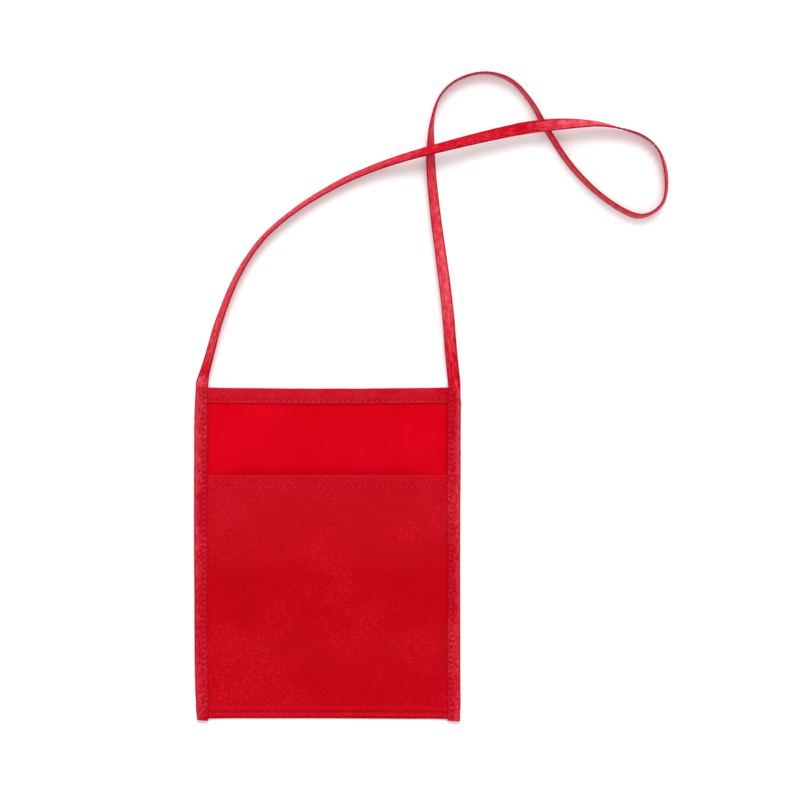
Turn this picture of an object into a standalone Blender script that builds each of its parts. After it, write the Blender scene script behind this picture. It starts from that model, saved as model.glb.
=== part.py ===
"""A neck pouch of red non-woven cloth, whose side bindings go on as its neck strap.

The pouch lies on its back. +Z points out of the pocket's front, +Y points to the top hem, and the
origin is on the surface under the middle of the pouch. All sizes are in metres.
"""

import math

import bmesh
import bpy
from mathutils import Vector

MM = 0.001

# Driving dimensions of the pouch.
POUCH_WIDTH = 160 * MM
POUCH_HEIGHT = 200 * MM
CLOTH = 0.5 * MM
GAP = 0.3 * MM
BINDING_WIDTH = 8 * MM
BINDING_OVERHANG = 1.5 * MM
TOP_HEM_DEPTH = 9 * MM
MOUTH_Y = 47.6 * MM
POCKET_HEM_DEPTH = 9 * MM
CREASE_ABOVE_FOLD = 4 * MM

# The pocket stands open by this much, as cloth does that was folded over a card.
MOUTH_LIFT = 5.2 * MM
FLAT_HALF_WIDTH = 40 * MM
FULL_LIFT_Y = 5 * MM

# The pocket hem's seam presses the mouth down by this much, over this length before the seam.
SEAM_PRESS = 0.1 * MM
PRESS_LENGTH = 4 * MM

# Sewing.
THREAD_RADIUS = 0.2 * MM
THREAD_CROWN = 0.15 * MM
BINDING_PITCH = 3.2 * MM
HEM_PITCH = 3.5 * MM
BINDING_SEAM_INSET = 5.9 * MM
TOP_SEAM_ABOVE_EDGE = 1.6 * MM
POCKET_SEAM_BELOW_MOUTH = 7.6 * MM

# The neck strap: a tape folded to half its width.
STRAP_WIDTH = 7.4 * MM
STRAP_THICKNESS = 0.9 * MM
STRAP_POINTS = 80
SWING_AHEAD = 2.8 * MM

# Heights of the layers where the side bindings hold them: binding, back, front, binding.
LAYER = CLOTH + GAP
FOLD_RADIUS = LAYER / 2
SIDE_RISE = LAYER
BINDING_HEIGHT = 4 * CLOTH + 3 * GAP

# Places that follow from the sizes above.
HALF_WIDTH = POUCH_WIDTH / 2
HALF_HEIGHT = POUCH_HEIGHT / 2
BINDING_INNER_X = HALF_WIDTH - BINDING_WIDTH
PANEL_EDGE_X = HALF_WIDTH - BINDING_HEIGHT / 2 - CLOTH / 2
RISE_START_X = BINDING_INNER_X - 8 * MM
RISE_END_X = BINDING_INNER_X - 0.6 * MM
FRONT_EDGE_X = BINDING_INNER_X - GAP
POCKET_HEM_EDGE_X = BINDING_INNER_X - 9 * MM
FOLD_Y = -HALF_HEIGHT + BINDING_OVERHANG
CREASE_Y = FOLD_Y + CREASE_ABOVE_FOLD
CREASE_Z = LAYER + CLOTH / 2
TOP_Y = HALF_HEIGHT - CLOTH
SEAM_X = HALF_WIDTH - BINDING_SEAM_INSET
TOP_SEAM_Y = TOP_Y - TOP_HEM_DEPTH + TOP_SEAM_ABOVE_EDGE
POCKET_SEAM_Y = MOUTH_Y - POCKET_SEAM_BELOW_MOUTH
PRESS_END_Y = POCKET_SEAM_Y - 2 * MM
PRESS_START_Y = PRESS_END_Y - PRESS_LENGTH
SWING_Y = HALF_HEIGHT + SWING_AHEAD
SWING_Z = BINDING_HEIGHT / 2

# The strap's route from the left binding to the right one, chosen by hand, in millimetres:
# (x, y, height of its lower edge above the surface, lean in degrees). At a lean of 0 the tape
# lies flat, at 90 it stands on its folded edge, with its sewn edge up.
STRAP_ROUTE = [
    (-75.3, 100.3, 1.0, 0), (-75.2, 103.8, 1.0, 1), (-74.9, 107.2, 0.8, 16), (-70.8, 119.5, 0.2, 42),
    (-64.6, 140.6, 0.1, 54), (-54.0, 166.5, 0.1, 62), (-39.6, 188.2, 0.1, 67), (-19.5, 206.0, 0.1, 67),
    (5.0, 221.2, 0.1, 61), (26.0, 230.7, 1.2, 57), (45.0, 237.0, 4.6, 50), (64.2, 242.2, 6.9, 42),
    (85.0, 247.6, 6.4, 31), (105.0, 252.3, 6.6, 18), (119.0, 255.0, 7.4, 2), (132.0, 256.6, 7.6, 10),
    (147.0, 257.6, 5.8, 37), (162.0, 257.4, 3.0, 66), (176.0, 254.8, 0.8, 84), (188.6, 250.6, 0.1, 89),
    (197.8, 243.0, 0.1, 80), (202.2, 231.6, 0.1, 73), (203.0, 219.5, 0.1, 75), (200.2, 209.6, 0.1, 80),
    (191.8, 203.4, 0.1, 82), (182.6, 203.4, 0.1, 74), (169.5, 210.6, 0.1, 76), (156.3, 221.4, 0.1, 74),
    (143.6, 235.6, 0.1, 73), (131.6, 254.0, 0.1, 72), (121.5, 271.4, 0.1, 77), (109.6, 283.9, 0.1, 83),
    (94.2, 288.4, 0.1, 90), (78.2, 284.3, 0.1, 90), (67.6, 274.6, 0.1, 90), (63.0, 260.4, 0.1, 78),
    (62.0, 245.0, 0.1, 57), (62.3, 229.0, 0.1, 45), (64.8, 204.0, 0.1, 37), (68.3, 177.5, 0.8, 29),
    (71.9, 148.5, 2.2, 19), (74.3, 119.5, 2.0, 10), (75.9, 104.0, 1.05, 1), (76.1, 100.3, 1.0, 0),
]


def clear_scene():
    """Remove what the file holds, so that the model is all there is."""
    for thing in list(bpy.data.objects):
        bpy.data.objects.remove(thing, do_unlink=True)


def linear(red, green, blue):
    """Turn a screen colour of 0 to 255 into linear light."""
    def channel(value):
        share = value / 255
        return share / 12.92 if share <= 0.04045 else ((share + 0.055) / 1.055) ** 2.4
    return (channel(red), channel(green), channel(blue), 1.0)


def cloth_material(name, colour, roughness):
    """Make a plain dyed-cloth material."""
    material = bpy.data.materials.new(name)
    material.use_nodes = True
    shader = material.node_tree.nodes["Principled BSDF"]
    shader.inputs["Base Color"].default_value = linear(*colour)
    shader.inputs["Roughness"].default_value = roughness
    shader.inputs["Metallic"].default_value = 0.0
    return material


def add_object(name, data, collection, material, hinge=None):
    """Put a piece in the collection, on its hinge if it moves."""
    piece = bpy.data.objects.new(name, data)
    collection.objects.link(piece)
    data.materials.append(material)
    if hinge is not None:
        piece.parent = hinge
        piece.location = -hinge.location
    return piece


def add_hinge(name, place, collection):
    """Add the empty that a moving body turns on."""
    hinge = bpy.data.objects.new(name, None)
    hinge.location = place
    collection.objects.link(hinge)
    return hinge


def smoothstep(share):
    """Ease from 0 to 1."""
    share = min(max(share, 0.0), 1.0)
    return share * share * (3 - 2 * share)


def side_rise(x):
    """Height that the cloth gains on its way into a side binding."""
    return SIDE_RISE * smoothstep((abs(x) - RISE_START_X) / (RISE_END_X - RISE_START_X))


def front_lift(x, y):
    """Height of the front panel's underside above a closed pocket's."""
    across = 1 - smoothstep((abs(x) - FLAT_HALF_WIDTH) / (FRONT_EDGE_X - FLAT_HALF_WIDTH))
    along = smoothstep((y - CREASE_Y) / (FULL_LIFT_Y - CREASE_Y))
    press = smoothstep((y - PRESS_START_Y) / PRESS_LENGTH)
    return (MOUTH_LIFT * along - SEAM_PRESS * press) * across


def arc(centre, radius, start, end, steps):
    """Points of an arc in degrees, ends included."""
    angles = [math.radians(start + (end - start) * step / steps) for step in range(steps + 1)]
    return [(centre[0] + radius * math.cos(angle), centre[1] + radius * math.sin(angle)) for angle in angles]


def stations(*stops):
    """Spread stations between stops, given as (place, steps to the next stop)."""
    places = []
    for (start, steps), (end, _) in zip(stops, stops[1:]):
        places += [start + (end - start) * step / steps for step in range(steps)]
    return places + [stops[-1][0]]


def mirrored(half):
    """Stations on both sides of the middle, from those on the right."""
    return [-place for place in reversed(half)] + half


def sheet(name, columns, rows, place, collection, material, hinge=None):
    """Make a piece of cloth: an open surface, place(column, row), with the cloth's thickness."""
    mesh = bpy.data.meshes.new(name)
    grid = bmesh.new()
    bmesh.ops.create_grid(grid, x_segments=len(columns) - 1, y_segments=len(rows) - 1, size=0.5)
    for vertex in grid.verts:
        column = columns[round((vertex.co.x + 0.5) * (len(columns) - 1))]
        row = rows[round((vertex.co.y + 0.5) * (len(rows) - 1))]
        vertex.co = Vector(place(column, row))
    grid.to_mesh(mesh)
    grid.free()
    mesh.shade_smooth()
    piece = add_object(name, mesh, collection, material, hinge)
    solidify = piece.modifiers.new("cloth thickness", "SOLIDIFY")
    solidify.thickness = CLOTH
    solidify.offset = 0
    solidify.use_even_offset = True
    return piece


def panel_columns(edge_x):
    """Stations across a panel that ends at edge_x on both sides."""
    if edge_x <= RISE_START_X:
        half = stations((4 * MM, 3), (FLAT_HALF_WIDTH, 6), (edge_x, 0))
    elif edge_x <= RISE_END_X + GAP:
        half = stations((4 * MM, 3), (FLAT_HALF_WIDTH, 6), (RISE_START_X, 4), (edge_x, 0))
    else:
        half = stations((4 * MM, 3), (FLAT_HALF_WIDTH, 6), (RISE_START_X, 4), (RISE_END_X, 1), (edge_x, 0))
    return mirrored(half)


def back_panel(collection, material):
    """The back: one flat layer that lies on the surface."""
    def place(x, y):
        return (x, y, CLOTH / 2 + side_rise(x))
    rows = stations((CREASE_Y + GAP, 4), (TOP_Y - 2 * LAYER, 0))
    return sheet("back_panel", panel_columns(PANEL_EDGE_X), rows, place, collection, material)


def top_hem(collection, material):
    """The top edge of the back, rolled over to the front."""
    roll_y = TOP_Y - FOLD_RADIUS - CLOTH / 2
    roll_z = CLOTH / 2 + FOLD_RADIUS
    hem_y = TOP_Y - TOP_HEM_DEPTH
    profile = [(TOP_Y - 2 * LAYER + GAP, CLOTH / 2)]
    profile += arc((roll_y, roll_z), FOLD_RADIUS, -90, 90, 8)
    profile += [(hem_y, roll_z + FOLD_RADIUS)]

    def place(x, point):
        return (x, point[0], point[1] + side_rise(x))
    return sheet("top_hem", panel_columns(PANEL_EDGE_X), profile, place, collection, material)


def bottom_fold(collection, material):
    """The bottom, where the cloth turns from the back to the pocket's front."""
    roll_y = FOLD_Y + FOLD_RADIUS + CLOTH / 2
    roll_z = CLOTH / 2 + FOLD_RADIUS
    profile = [(CREASE_Y, roll_z + FOLD_RADIUS)]
    profile += arc((roll_y, roll_z), FOLD_RADIUS, 90, 270, 8)
    profile += [(CREASE_Y, roll_z - FOLD_RADIUS)]

    def place(x, point):
        return (x, point[0], point[1] + side_rise(x))
    return sheet("bottom_fold", panel_columns(PANEL_EDGE_X), profile, place, collection, material)


def front_height(x, y):
    """Height of the middle of the front panel's cloth."""
    return LAYER + CLOTH / 2 + side_rise(x) + front_lift(x, y)


def front_panel(collection, material, hinge):
    """The pocket's front between the bindings, from the crease to the mouth."""
    def place(x, y):
        return (x, y, front_height(x, y))
    rows = stations((CREASE_Y + GAP, 10), (FULL_LIFT_Y, 1), (PRESS_START_Y, 2), (PRESS_END_Y, 1),
                    (MOUTH_Y - 2 * LAYER, 0))
    return sheet("front_panel", panel_columns(FRONT_EDGE_X), rows, place, collection, material, hinge)


def pocket_hem(collection, material, hinge):
    """The mouth's edge, rolled under the front panel."""
    roll_y = MOUTH_Y - FOLD_RADIUS - CLOTH / 2
    profile = [(MOUTH_Y - 2 * LAYER + GAP, 0.0)]
    profile += arc((roll_y, -FOLD_RADIUS), FOLD_RADIUS, 90, -90, 8)
    profile += [(MOUTH_Y - POCKET_HEM_DEPTH, -2 * FOLD_RADIUS)]

    def place(x, point):
        return (x, point[0], point[1] + front_height(x, MOUTH_Y))
    return sheet("pocket_hem", panel_columns(POCKET_HEM_EDGE_X), profile, place, collection, material, hinge)


def front_margin(side, collection, material):
    """The side of the front panel that stays sewn in its binding."""
    def place(x, y):
        return (x, y, SIDE_RISE + LAYER + CLOTH / 2)
    name = "left_front_margin" if side < 0 else "right_front_margin"
    columns = sorted([side * BINDING_INNER_X, side * PANEL_EDGE_X])
    return sheet(name, columns, [CREASE_Y + GAP, MOUTH_Y], place, collection, material)


def side_binding(side, collection, material):
    """The folded tape over one side of the pouch, with its cut end below the bottom fold."""
    radius = (BINDING_HEIGHT - CLOTH) / 2
    centre_x = HALF_WIDTH - BINDING_HEIGHT / 2
    section = [(BINDING_INNER_X, BINDING_HEIGHT - CLOTH / 2)]
    section += arc((centre_x, BINDING_HEIGHT / 2), radius, 90, -90, 10)
    section += [(BINDING_INNER_X, CLOTH / 2)]

    def place(point, y):
        return (side * point[0], y, point[1])
    name = "left_binding" if side < 0 else "right_binding"
    return sheet(name, section, [-HALF_HEIGHT, HALF_HEIGHT], place, collection, material)


def tube(name, points, radius, collection, material, hinge=None):
    """Run a round thread through points."""
    curve = bpy.data.curves.new(name, "CURVE")
    curve.dimensions = "3D"
    curve.bevel_depth = radius
    curve.bevel_resolution = 1
    curve.use_fill_caps = True
    spline = curve.splines.new("POLY")
    spline.points.add(len(points) - 1)
    for target, point in zip(spline.points, points):
        target.co = (*point, 1.0)
    return add_object(name, curve, collection, material, hinge)


def seam(name, length, pitch, place, collection, material, hinge=None):
    """Sew a straight row: the thread dips at each needle hole, and place(along, height) sets it down."""
    stitches = round(length / pitch)
    points = []
    for half_stitch in range(2 * stitches + 1):
        along = (half_stitch / 2 - stitches / 2) * pitch
        crown = THREAD_CROWN if half_stitch % 2 else 0.0
        points.append(place(along, GAP + THREAD_RADIUS + crown))
    return tube(name, points, THREAD_RADIUS, collection, material, hinge)


def stitching(collection, material, pocket_hinge):
    """The rows of stitches on the two bindings and the two hems."""
    for side, name in ((-1, "left_binding_stitching"), (1, "right_binding_stitching")):
        def on_binding(along, height, side=side):
            return (side * SEAM_X, along, BINDING_HEIGHT + height)
        seam(name, POUCH_HEIGHT - 2 * BINDING_PITCH, BINDING_PITCH, on_binding, collection, material)

    def on_top_hem(along, height):
        return (along, TOP_SEAM_Y, LAYER + CLOTH + side_rise(along) + height)
    seam("top_hem_stitching", 2 * BINDING_INNER_X - HEM_PITCH, HEM_PITCH, on_top_hem, collection, material)

    def on_pocket_hem(along, height):
        return (along, POCKET_SEAM_Y, front_height(along, POCKET_SEAM_Y) + CLOTH / 2 + height)
    seam("pocket_hem_stitching", 2 * POCKET_HEM_EDGE_X, HEM_PITCH, on_pocket_hem, collection, material,
         pocket_hinge)


def smooth_route(route, count):
    """Read count evenly spaced points from a smooth curve through the route's points."""
    ends = [route[0]] + list(route) + [route[-1]]
    dense = []
    for before, start, end, after in zip(ends, ends[1:], ends[2:], ends[3:]):
        for step in range(24):
            t = step / 24
            dense.append([0.5 * (2 * b + (c - a) * t + (2 * a - 5 * b + 4 * c - d) * t ** 2
                                 + (3 * b - a - 3 * c + d) * t ** 3)
                          for a, b, c, d in zip(before, start, end, after)])
    dense.append(list(route[-1]))
    travelled = [0.0]
    for start, end in zip(dense, dense[1:]):
        travelled.append(travelled[-1] + math.dist(start[:3], end[:3]))
    picked = []
    place = 0
    for index in range(count):
        target = travelled[-1] * index / (count - 1)
        while place < len(dense) - 2 and travelled[place + 1] < target:
            place += 1
        share = (target - travelled[place]) / (travelled[place + 1] - travelled[place])
        picked.append([a + (b - a) * share for a, b in zip(dense[place], dense[place + 1])])
    return picked


def neck_strap(collection, material, hinge):
    """The strap: a flat ribbon that leans as the tape does, and crosses over itself twice."""
    curve = bpy.data.curves.new("neck_strap", "CURVE")
    curve.dimensions = "3D"
    curve.twist_mode = "Z_UP"
    curve.extrude = (STRAP_WIDTH - STRAP_THICKNESS) / 2
    curve.bevel_depth = STRAP_THICKNESS / 2
    curve.bevel_resolution = 1
    curve.use_fill_caps = True
    points = smooth_route(STRAP_ROUTE, STRAP_POINTS)
    spline = curve.splines.new("POLY")
    spline.points.add(len(points) - 1)
    for target, (x, y, rest, lean) in zip(spline.points, points):
        angle = math.radians(lean)
        middle = STRAP_WIDTH / 2 * math.sin(angle) + STRAP_THICKNESS / 2 * math.cos(angle)
        target.co = (x * MM, y * MM, rest * MM + middle, 1.0)
        target.tilt = math.pi / 2 - angle
    return add_object("neck_strap", curve, collection, material, hinge)


def main():
    """Build the pouch, its stitching and its strap."""
    clear_scene()
    collection = bpy.data.collections.new("neck_pouch")
    bpy.context.scene.collection.children.link(collection)

    cloth = cloth_material("nonwoven_cloth", (200, 14, 34), 0.85)
    tape = cloth_material("binding_tape", (204, 30, 48), 0.8)
    thread = cloth_material("sewing_thread", (178, 10, 36), 0.6)

    pocket_hinge = add_hinge("pocket_mouth_hinge", Vector((0, CREASE_Y, CREASE_Z)), collection)
    strap_hinge = add_hinge("neck_strap_hinge", Vector((0, SWING_Y, SWING_Z)), collection)

    back_panel(collection, cloth)
    top_hem(collection, cloth)
    bottom_fold(collection, cloth)
    front_panel(collection, cloth, pocket_hinge)
    pocket_hem(collection, cloth, pocket_hinge)
    for side in (-1, 1):
        front_margin(side, collection, cloth)
        side_binding(side, collection, tape)
    stitching(collection, thread, pocket_hinge)
    neck_strap(collection, tape, strap_hinge)


main()
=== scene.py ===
"""Visual model of a flat cloth neck pouch for a badge.

The pouch is sewn from one length of non-woven cloth: its back runs from the top hem down, turns up
at the bottom fold and becomes the pocket's front, whose mouth is hemmed too. A folded tape binds
each side and runs on as the neck strap, a loop that lies loosely above the pouch and crosses
itself twice.
"""

import logging
import math
from dataclasses import dataclass, field
from enum import Enum
from typing import Callable, Iterable, Sequence

import bmesh
import bpy
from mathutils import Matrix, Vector, noise


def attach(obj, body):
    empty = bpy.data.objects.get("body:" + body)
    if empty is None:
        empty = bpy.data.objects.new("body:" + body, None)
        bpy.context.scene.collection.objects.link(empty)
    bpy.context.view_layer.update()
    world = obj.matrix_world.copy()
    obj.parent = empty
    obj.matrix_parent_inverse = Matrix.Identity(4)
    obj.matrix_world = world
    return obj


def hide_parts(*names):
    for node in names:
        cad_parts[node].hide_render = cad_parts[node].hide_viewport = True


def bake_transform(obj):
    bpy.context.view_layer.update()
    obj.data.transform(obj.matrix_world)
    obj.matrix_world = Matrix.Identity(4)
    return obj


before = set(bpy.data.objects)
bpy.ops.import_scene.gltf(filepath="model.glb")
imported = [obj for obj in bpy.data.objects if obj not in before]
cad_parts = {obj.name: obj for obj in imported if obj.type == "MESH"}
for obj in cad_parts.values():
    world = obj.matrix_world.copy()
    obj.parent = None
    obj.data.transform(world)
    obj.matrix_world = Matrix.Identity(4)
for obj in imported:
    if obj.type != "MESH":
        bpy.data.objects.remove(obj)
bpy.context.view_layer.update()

LOG = logging.getLogger("neck_pouch")
MM = 0.001

Place = Callable[[float, "Station"], tuple[float, float, float]]
Outline = list[tuple[float, float]]


class Slot(Enum):
    """The record's material slots."""

    CLOTH = "cloth"
    TAPE = "tape"
    THREAD = "thread"


class Body(Enum):
    """The bodies that pieces ride on."""

    POUCH = "pouch"
    POCKET = "pocket_front"
    STRAP = "neck_strap"


class Side(Enum):
    """A side of the pouch, as the sign of its X."""

    LEFT = -1
    RIGHT = 1

    @property
    def word(self) -> str:
        """The side's name in a piece's name."""
        return self.name.lower()


# ---------------------------------------------------------------------------------------------
# Small measures shared by every piece
# ---------------------------------------------------------------------------------------------


def ease(t: float) -> float:
    """A smooth step from 0 to 1 while t runs from 0 to 1."""
    t = min(max(t, 0.0), 1.0)
    return t * t * (3 - 2 * t)


def bell(distance: float, width: float) -> float:
    """A smooth bump of height 1 that fades over a width."""
    return math.exp(-(distance / width) ** 2)


def mix(a: float, b: float, share: float) -> float:
    """The value a share of the way from a to b."""
    return a + (b - a) * share


def eased_table(table: Sequence[tuple[float, float]], at: float) -> float:
    """Read a value from a short table of (place, value) rows, easing between the rows.

    Args:
        table: The rows, by rising place.
        at: The place to read.

    Returns:
        The value there, which stays level beyond the table's ends.
    """
    for (start, low), (end, high) in zip(table, table[1:]):
        if at <= end:
            return mix(low, high, ease((at - start) / (end - start)))
    return table[-1][1]


def curve_point(before: object, start: object, end: object, after: object, t: float) -> object:
    """Find a point on the smooth curve that runs through numbers or vectors in turn.

    Args:
        before: The value before the curve's present piece.
        start: The value where the piece starts.
        end: The value where the piece ends.
        after: The value after the piece.
        t: How far along the piece the point is, from 0 to 1.

    Returns:
        The curve's value there.
    """
    return 0.5 * (2 * start + (end - before) * t
                  + (2 * before - 5 * start + 4 * end - after) * t ** 2
                  + (3 * start - before - 3 * end + after) * t ** 3)


def ripple(x: float, y: float, size: float, seed: float) -> float:
    """Soft, seeded unevenness between about -1 and 1.

    Args:
        x: First coordinate in metres.
        y: Second coordinate in metres.
        size: The width of one ripple in metres.
        seed: Picks one pattern.

    Returns:
        The unevenness at that place.
    """
    return noise.noise(Vector((x / size, y / size, seed * 7.31)))


def deselect_all() -> None:
    """Leave object mode with nothing selected."""
    if bpy.context.object and bpy.context.object.mode != "OBJECT":
        bpy.ops.object.mode_set(mode="OBJECT")
    bpy.ops.object.select_all(action="DESELECT")


def make_active(obj: bpy.types.Object) -> None:
    """Select one object alone and make it the active one."""
    deselect_all()
    obj.select_set(True)
    bpy.context.view_layer.objects.active = obj


def apply_modifier(obj: bpy.types.Object, kind: str, **values: object) -> None:
    """Add a modifier and apply it to the mesh.

    Args:
        obj: The object to change.
        kind: The modifier's type.
        **values: The modifier's settings.
    """
    modifier = obj.modifiers.new(kind.title(), kind)
    for name, value in values.items():
        setattr(modifier, name, value)
    make_active(obj)
    bpy.ops.object.modifier_apply(modifier=modifier.name)


def smooth(obj: bpy.types.Object, degrees: float = 50.0) -> None:
    """Shade smooth, with edges sharper than an angle left sharp."""
    make_active(obj)
    bpy.ops.object.shade_smooth_by_angle(angle=math.radians(degrees))


# ---------------------------------------------------------------------------------------------
# Finishes
# ---------------------------------------------------------------------------------------------


class Graph:
    """A material's node graph, with short calls that add and join nodes."""

    def __init__(self, name: str) -> None:
        """Start a material with an empty surface shader."""
        self.material = bpy.data.materials.new(name)
        self.material.use_nodes = True
        self.tree = self.material.node_tree
        self.shader = self.tree.nodes["Principled BSDF"]

    def node(self, kind: str, **values: object) -> bpy.types.Node:
        """Add a node and set its properties."""
        made = self.tree.nodes.new(kind)
        for name, value in values.items():
            setattr(made, name, value)
        return made

    def feed(self, socket: bpy.types.NodeSocket, value: object) -> None:
        """Join a socket to another, or give it a plain value."""
        if isinstance(value, bpy.types.NodeSocket):
            self.tree.links.new(value, socket)
        else:
            socket.default_value = value

    def cut(self) -> bpy.types.NodeSocket:
        """Where a point lies on the flat cut cloth, in metres."""
        return self.node("ShaderNodeUVMap", uv_map="cut").outputs["UV"]

    def turned(self, vector: bpy.types.NodeSocket, degrees: float,
               stretch: float) -> bpy.types.NodeSocket:
        """Turn a flat pattern, and draw it out along its own Y."""
        made = self.node("ShaderNodeMapping", vector_type="TEXTURE")
        self.feed(made.inputs["Vector"], vector)
        self.feed(made.inputs["Rotation"], (0.0, 0.0, math.radians(degrees)))
        self.feed(made.inputs["Scale"], (1.0, stretch, 1.0))
        return made.outputs["Vector"]

    def speckle(self, vector: bpy.types.NodeSocket, size: float, detail: float = 2.0,
                rough: float = 0.5) -> bpy.types.NodeSocket:
        """Cloudy noise whose spots are about size metres wide."""
        made = self.node("ShaderNodeTexNoise")
        self.feed(made.inputs["Vector"], vector)
        self.feed(made.inputs["Scale"], 1.0 / size)
        self.feed(made.inputs["Detail"], detail)
        self.feed(made.inputs["Roughness"], rough)
        return made.outputs["Fac"]

    def points(self, vector: bpy.types.NodeSocket, pitch: float,
               stray: float) -> bpy.types.NodeSocket:
        """Distance from the nearest of a field of bonding points, in pitches."""
        made = self.node("ShaderNodeTexVoronoi", voronoi_dimensions="2D")
        self.feed(made.inputs["Vector"], vector)
        self.feed(made.inputs["Scale"], 1.0 / pitch)
        self.feed(made.inputs["Randomness"], stray)
        return made.outputs["Distance"]

    def between(self, value: object, low: float, high: float, start: float = 0.0,
                end: float = 1.0) -> bpy.types.NodeSocket:
        """Spread a value's range from low to high smoothly over start to end."""
        made = self.node("ShaderNodeMapRange", interpolation_type="SMOOTHSTEP")
        for name, given in (("Value", value), ("From Min", low), ("From Max", high),
                            ("To Min", start), ("To Max", end)):
            self.feed(made.inputs[name], given)
        return made.outputs["Result"]

    def math(self, operation: str, a: object, b: object = 0.0) -> bpy.types.NodeSocket:
        """One step of arithmetic."""
        made = self.node("ShaderNodeMath", operation=operation)
        for socket, value in zip(made.inputs, (a, b)):
            self.feed(socket, value)
        return made.outputs["Value"]

    def times(self, a: object, b: object) -> bpy.types.NodeSocket:
        """The product of two values."""
        return self.math("MULTIPLY", a, b)

    def plus(self, a: object, b: object) -> bpy.types.NodeSocket:
        """The sum of two values."""
        return self.math("ADD", a, b)

    def most(self, a: object, b: object) -> bpy.types.NodeSocket:
        """The greater of two values."""
        return self.math("MAXIMUM", a, b)

    def apart(self, a: object, b: object) -> bpy.types.NodeSocket:
        """How far two values are from each other."""
        return self.math("ABSOLUTE", self.math("SUBTRACT", a, b))

    def blend(self, share: object, a: object, b: object) -> bpy.types.NodeSocket:
        """Mix two colours by a share."""
        made = self.node("ShaderNodeMix", data_type="RGBA")
        self.feed(made.inputs[0], share)
        self.feed(made.inputs[6], a)
        self.feed(made.inputs[7], b)
        return made.outputs[2]

    def across(self, vector: bpy.types.NodeSocket
               ) -> tuple[bpy.types.NodeSocket, bpy.types.NodeSocket]:
        """The two flat coordinates of a pattern on their own."""
        made = self.node("ShaderNodeSeparateXYZ")
        self.feed(made.inputs[0], vector)
        return made.outputs["X"], made.outputs["Y"]

    def relief(self, height: bpy.types.NodeSocket, depth: float) -> None:
        """Give the surface a fine relief of a depth in metres."""
        made = self.node("ShaderNodeBump")
        self.feed(made.inputs["Height"], height)
        self.feed(made.inputs["Distance"], depth)
        self.feed(made.inputs["Strength"], 1.0)
        self.feed(self.shader.inputs["Normal"], made.outputs["Normal"])


Colour = tuple[float, float, float, float]

LIGHT_ALLOWANCE = 0.83
"""How much darker cloth is made than it is to show, as the studio's light is more than full."""


def colour(red: float, green: float, blue: float) -> Colour:
    """The cloth colour that shows as this red, green and blue of 255 under the studio's light."""
    def linear(value: float) -> float:
        """Take one display value to its linear strength."""
        share = value / 255
        if share <= 0.04045:
            return LIGHT_ALLOWANCE * (share / 12.92)
        return LIGHT_ALLOWANCE * ((share + 0.055) / 1.055) ** 2.4
    return (linear(red), linear(green), linear(blue), 1.0)


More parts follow.
